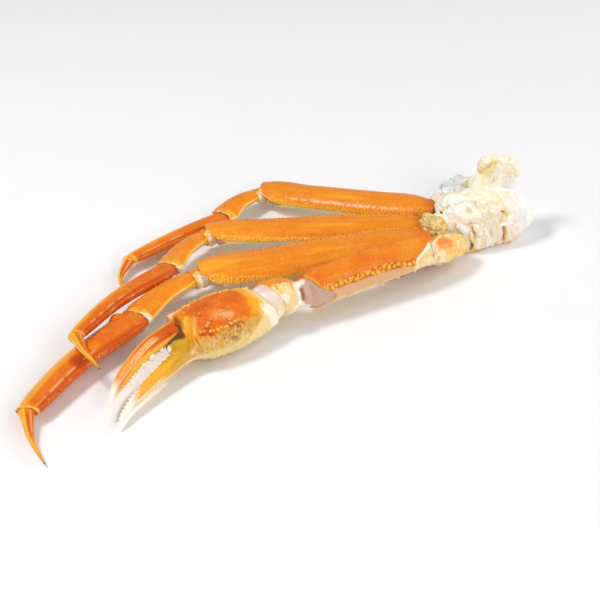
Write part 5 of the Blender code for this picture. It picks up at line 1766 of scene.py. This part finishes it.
def ischium_piece(look):
    """The claw arm's first segment: an orange patch, a cream ridge and yellow, bumpy skin."""
    points, normals, faces = finer("arm_ischium", 0.42, 4)
    g = Painted(points, normals)
    x, y, z = points.T
    warp = np.stack([clouds(points, 3, seed) for seed in (5, 15, 25)], -1)
    lumps, small = curds(points + warp, 4.2, 11), curds(points + 0.5 * warp, 1.6, 8)
    shift = 0.35 * g.noise(2.6, 7)
    ridge = g.line(((89.0, -15.5, 21.0), (85.5, -19.0, 21.8), (82.2, -22.3, 21.4), (79.5, -25, 19)), 1.5)
    patch = ramp(g.line(((86.6, -22.0, 20.8), (89.5, -21.0, 19.8)), 9.5) + shift, 0.2, 1.1)
    upper = ramp(g.line(((78.0, -21.5, 20.5), (83.5, -15.5, 21.5)), 7) + shift, 0.3, 0.9)
    plain = (1 - patch) * (1 - upper)
    low = ramp(x + 0.8 * y, 70, 62)
    g.relief += 0.9 * ridge + 0.3 * g.noise(3.5, 2) + 1.2 * ramp(x, 80, 76)
    g.relief += plain * (0.9 * lumps + (0.1 + 0.2 * low) * small - 0.5)
    g.paint(
        cream=plain * (0.6 + 0.4 * low),
        gold=plain * (0.8 * ramp(lumps, 0.5, 0.05) + 0.5 * g.blots(4, 9, -0.2, 0.4))
        + ramp(np.maximum(patch, upper), 0.0, 0.4) + 0.9 * ramp(z, 8, 4) + 0.5 * upper,
        yellow=0.9 * plain * (1 - 0.5 * low) * g.blots(4, 12, -0.6, 0.0),
        bright=np.maximum(patch, upper) * (1 - ridge),
        white=0.6 * ridge + 0.35 * plain * ramp(lumps, 0.45, 0.8) * low,
        bruise=0.3 * plain * low * (1 - ridge) * g.blots(1.8, 19, 0.25, 0.45),
        pink=0.6 * plain * low * g.blots(4, 22, 0.0, 0.3),
    )
    raised = points + normals * g.relief[:, None]
    add_piece("arm_ischium_skin", raised, faces, g.masks, look, "membrane", ["arm_ischium"])


def crystal(draw, centre, size):
    """A small irregular crystal: a box with uneven corners."""
    turn = Euler([draw.uniform(0, 3) for _ in range(3)]).to_matrix()
    corners = []
    for k in range(8):
        corner = Vector([(1 if k >> axis & 1 else -1) * draw.uniform(0.5, 1) for axis in range(3)])
        corners.append(np.array(turn @ corner) * size + centre)
    faces = [(0, 1, 3, 2), (4, 6, 7, 5), (0, 4, 5, 1), (2, 3, 7, 6), (0, 2, 6, 4), (1, 5, 7, 3)]
    return np.array(corners), np.array(faces)


# Places on the shoulder where more ice lies, with how far it spreads.
ICE_SPOTS = (
    ((111, 19, 26.5), 3.0), ((106, 17, 27.5), 3.0), ((116, 22, 28.5), 2.5), ((103, 13.5, 28), 2.0),
)
STREWN_CRYSTALS = 300
CRYSTALS_AT_SPOT = 22


def ice_piece(look):
    """Ice crystals grown together on the crust's own form."""
    points, normals, faces = finer("ice_crust", 0.7, 2)
    draw = random.Random(12)
    small, number = crumbs(points, 1.9, 5)
    body = points + normals * (1.1 * small * (0.4 + 0.8 * number) - 0.9)[:, None]
    parts = [(body, faces, {})]
    spots = []
    for _ in range(STREWN_CRYSTALS):
        k = draw.randrange(len(points))
        spots.append((points[k], normals[k]))
    for centre, spread in ICE_SPOTS:
        for _ in range(CRYSTALS_AT_SPOT):
            away = np.array([draw.gauss(0, spread / 2), draw.gauss(0, spread / 2), draw.gauss(0, 0.7)])
            spots.append((np.array(centre) + away, UP))
    for point, normal in spots:
        size = draw.uniform(0.35, 0.6) if draw.random() < 0.55 else draw.uniform(0.6, 1.3)
        corners, sides = crystal(draw, point - normal * size * 0.4, size)
        parts.append((corners, [sides], {}))
    piece = join_parts("ice_crust_form", parts, look, "ice", ["ice_crust"])
    piece.data.shade_flat()


# ---------------------------------------------------------------- studio


FLOOR_HALF = 3.0  # in metres, as all of the studio
SKY_STRENGTH = 0.36
# Soft lights: name, place, side, power and colour.
LIGHTS = (
    ("key", (-0.5, 0.2, 0.95), 0.3, 6.4, (1.0, 0.98, 0.95)),
    ("fill", (0.3, -1.0, 0.6), 0.5, 4.1, (1.0, 1.0, 1.0)),
    ("side", (0.95, 0.0, 0.6), 0.6, 3.1, (1.0, 1.0, 1.0)),
    ("bounce", (0.1, -1.0, 0.16), 1.2, 1.7, (1.0, 0.98, 0.96)),
)
LENS_MM, SENSOR_MM = 97.9, 36
CAMERA_PLACE = (-0.1826, -0.7158, 0.45588)
CAMERA_RIGHT = (0.94841688, -0.30792356, -0.07542222)
CAMERA_UP = (0.22502371, 0.48627184, 0.84433644)
CAMERA_BACK = (-0.22331538, -0.81775472, 0.53047852)


def studio():
    """A pale floor, soft light and the camera at the photograph's viewing angle."""
    mesh = bpy.data.meshes.new("floor")
    corners = [(x * FLOOR_HALF, y * FLOOR_HALF, 0) for x, y in ((-1, -1), (1, -1), (1, 1), (-1, 1))]
    mesh.from_pydata(corners, [], [(0, 1, 2, 3)])
    floor = bpy.data.objects.new("floor", mesh)
    bpy.context.scene.collection.objects.link(floor)
    paper = Look("floor paper", {"Specular IOR Level": 0.2})
    wide, fine = paper.noise(30, 2), paper.noise(0.8, 2)
    colour = paper.mix(wide, tone(243, 243, 245), tone(246, 246, 248))
    mesh.materials.append(paper.finish(colour, fine, 0.05, 0.1, 0.7))

    world = bpy.data.worlds.new("studio")
    bpy.context.scene.world = world
    world.use_nodes = True
    sky = world.node_tree.nodes["Background"]
    sky.inputs["Color"].default_value = (1, 1, 1, 1)
    sky.inputs["Strength"].default_value = SKY_STRENGTH

    for name, place, side, power, colour in LIGHTS:
        data = bpy.data.lights.new(name, "AREA")
        data.size = side
        data.energy = power
        data.color = colour
        lamp = bpy.data.objects.new(name, data)
        bpy.context.scene.collection.objects.link(lamp)
        lamp.location = place
        lamp.rotation_euler = (-Vector(place)).to_track_quat("-Z", "Y").to_euler()

    data = bpy.data.cameras.new("camera")
    data.lens = LENS_MM
    data.sensor_width = SENSOR_MM
    data.clip_start = 0.01
    camera = bpy.data.objects.new("camera", data)
    bpy.context.scene.collection.objects.link(camera)
    turn = Matrix((CAMERA_RIGHT, CAMERA_UP, CAMERA_BACK)).transposed().to_4x4()
    camera.matrix_world = Matrix.Translation(CAMERA_PLACE) @ turn
    bpy.context.scene.camera = camera
    bpy.context.scene.view_settings.view_transform = "Standard"


# ---------------------------------------------------------------- the whole

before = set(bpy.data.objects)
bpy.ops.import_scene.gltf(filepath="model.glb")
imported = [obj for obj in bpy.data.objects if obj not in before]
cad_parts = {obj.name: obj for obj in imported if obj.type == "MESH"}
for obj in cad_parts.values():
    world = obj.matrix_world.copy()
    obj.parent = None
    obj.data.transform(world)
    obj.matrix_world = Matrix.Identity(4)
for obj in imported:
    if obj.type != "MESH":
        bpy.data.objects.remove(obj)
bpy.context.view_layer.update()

leg_look = shell_look("leg shell", (247, 160, 34), (241, 144, 24), (226, 108, 10))
claw_look = shell_look("claw shell", (244, 150, 36), (236, 128, 24), (222, 98, 12))
membrane, meat, ice = skin_look(), meat_look(), ice_look()

leg_pieces = (
    ("merus", merus_piece, leg_look),
    ("knee", knee_piece, membrane),
    ("carpus", carpus_piece, leg_look),
    ("propodus", propodus_piece, leg_look),
    ("dactyl", dactyl_piece, leg_look),
)
for leg_name, leg_values in LEGS.items():
    leg_draw = random.Random(leg_name)
    segments = leg_segments(leg_values)
    for part, make, look in leg_pieces:
        make(leg_name, segments[part], look, leg_draw)

arm = arm_segments()
arm_draw = random.Random(21)
arm_merus_piece(arm["arm_merus"], claw_look, arm_draw)
arm_knee_piece(arm["arm_knee"], membrane)
arm_carpus_piece(arm["arm_carpus"], claw_look)
arm_wrist_piece(arm["arm_wrist"], membrane)
palm_piece(arm["palm"], arm["fixed"], claw_look, arm_draw)
finger_piece(arm["moving"], claw_look, arm_draw)
ischium_piece(membrane)
shoulder_piece(meat)
ice_piece(ice)
studio()
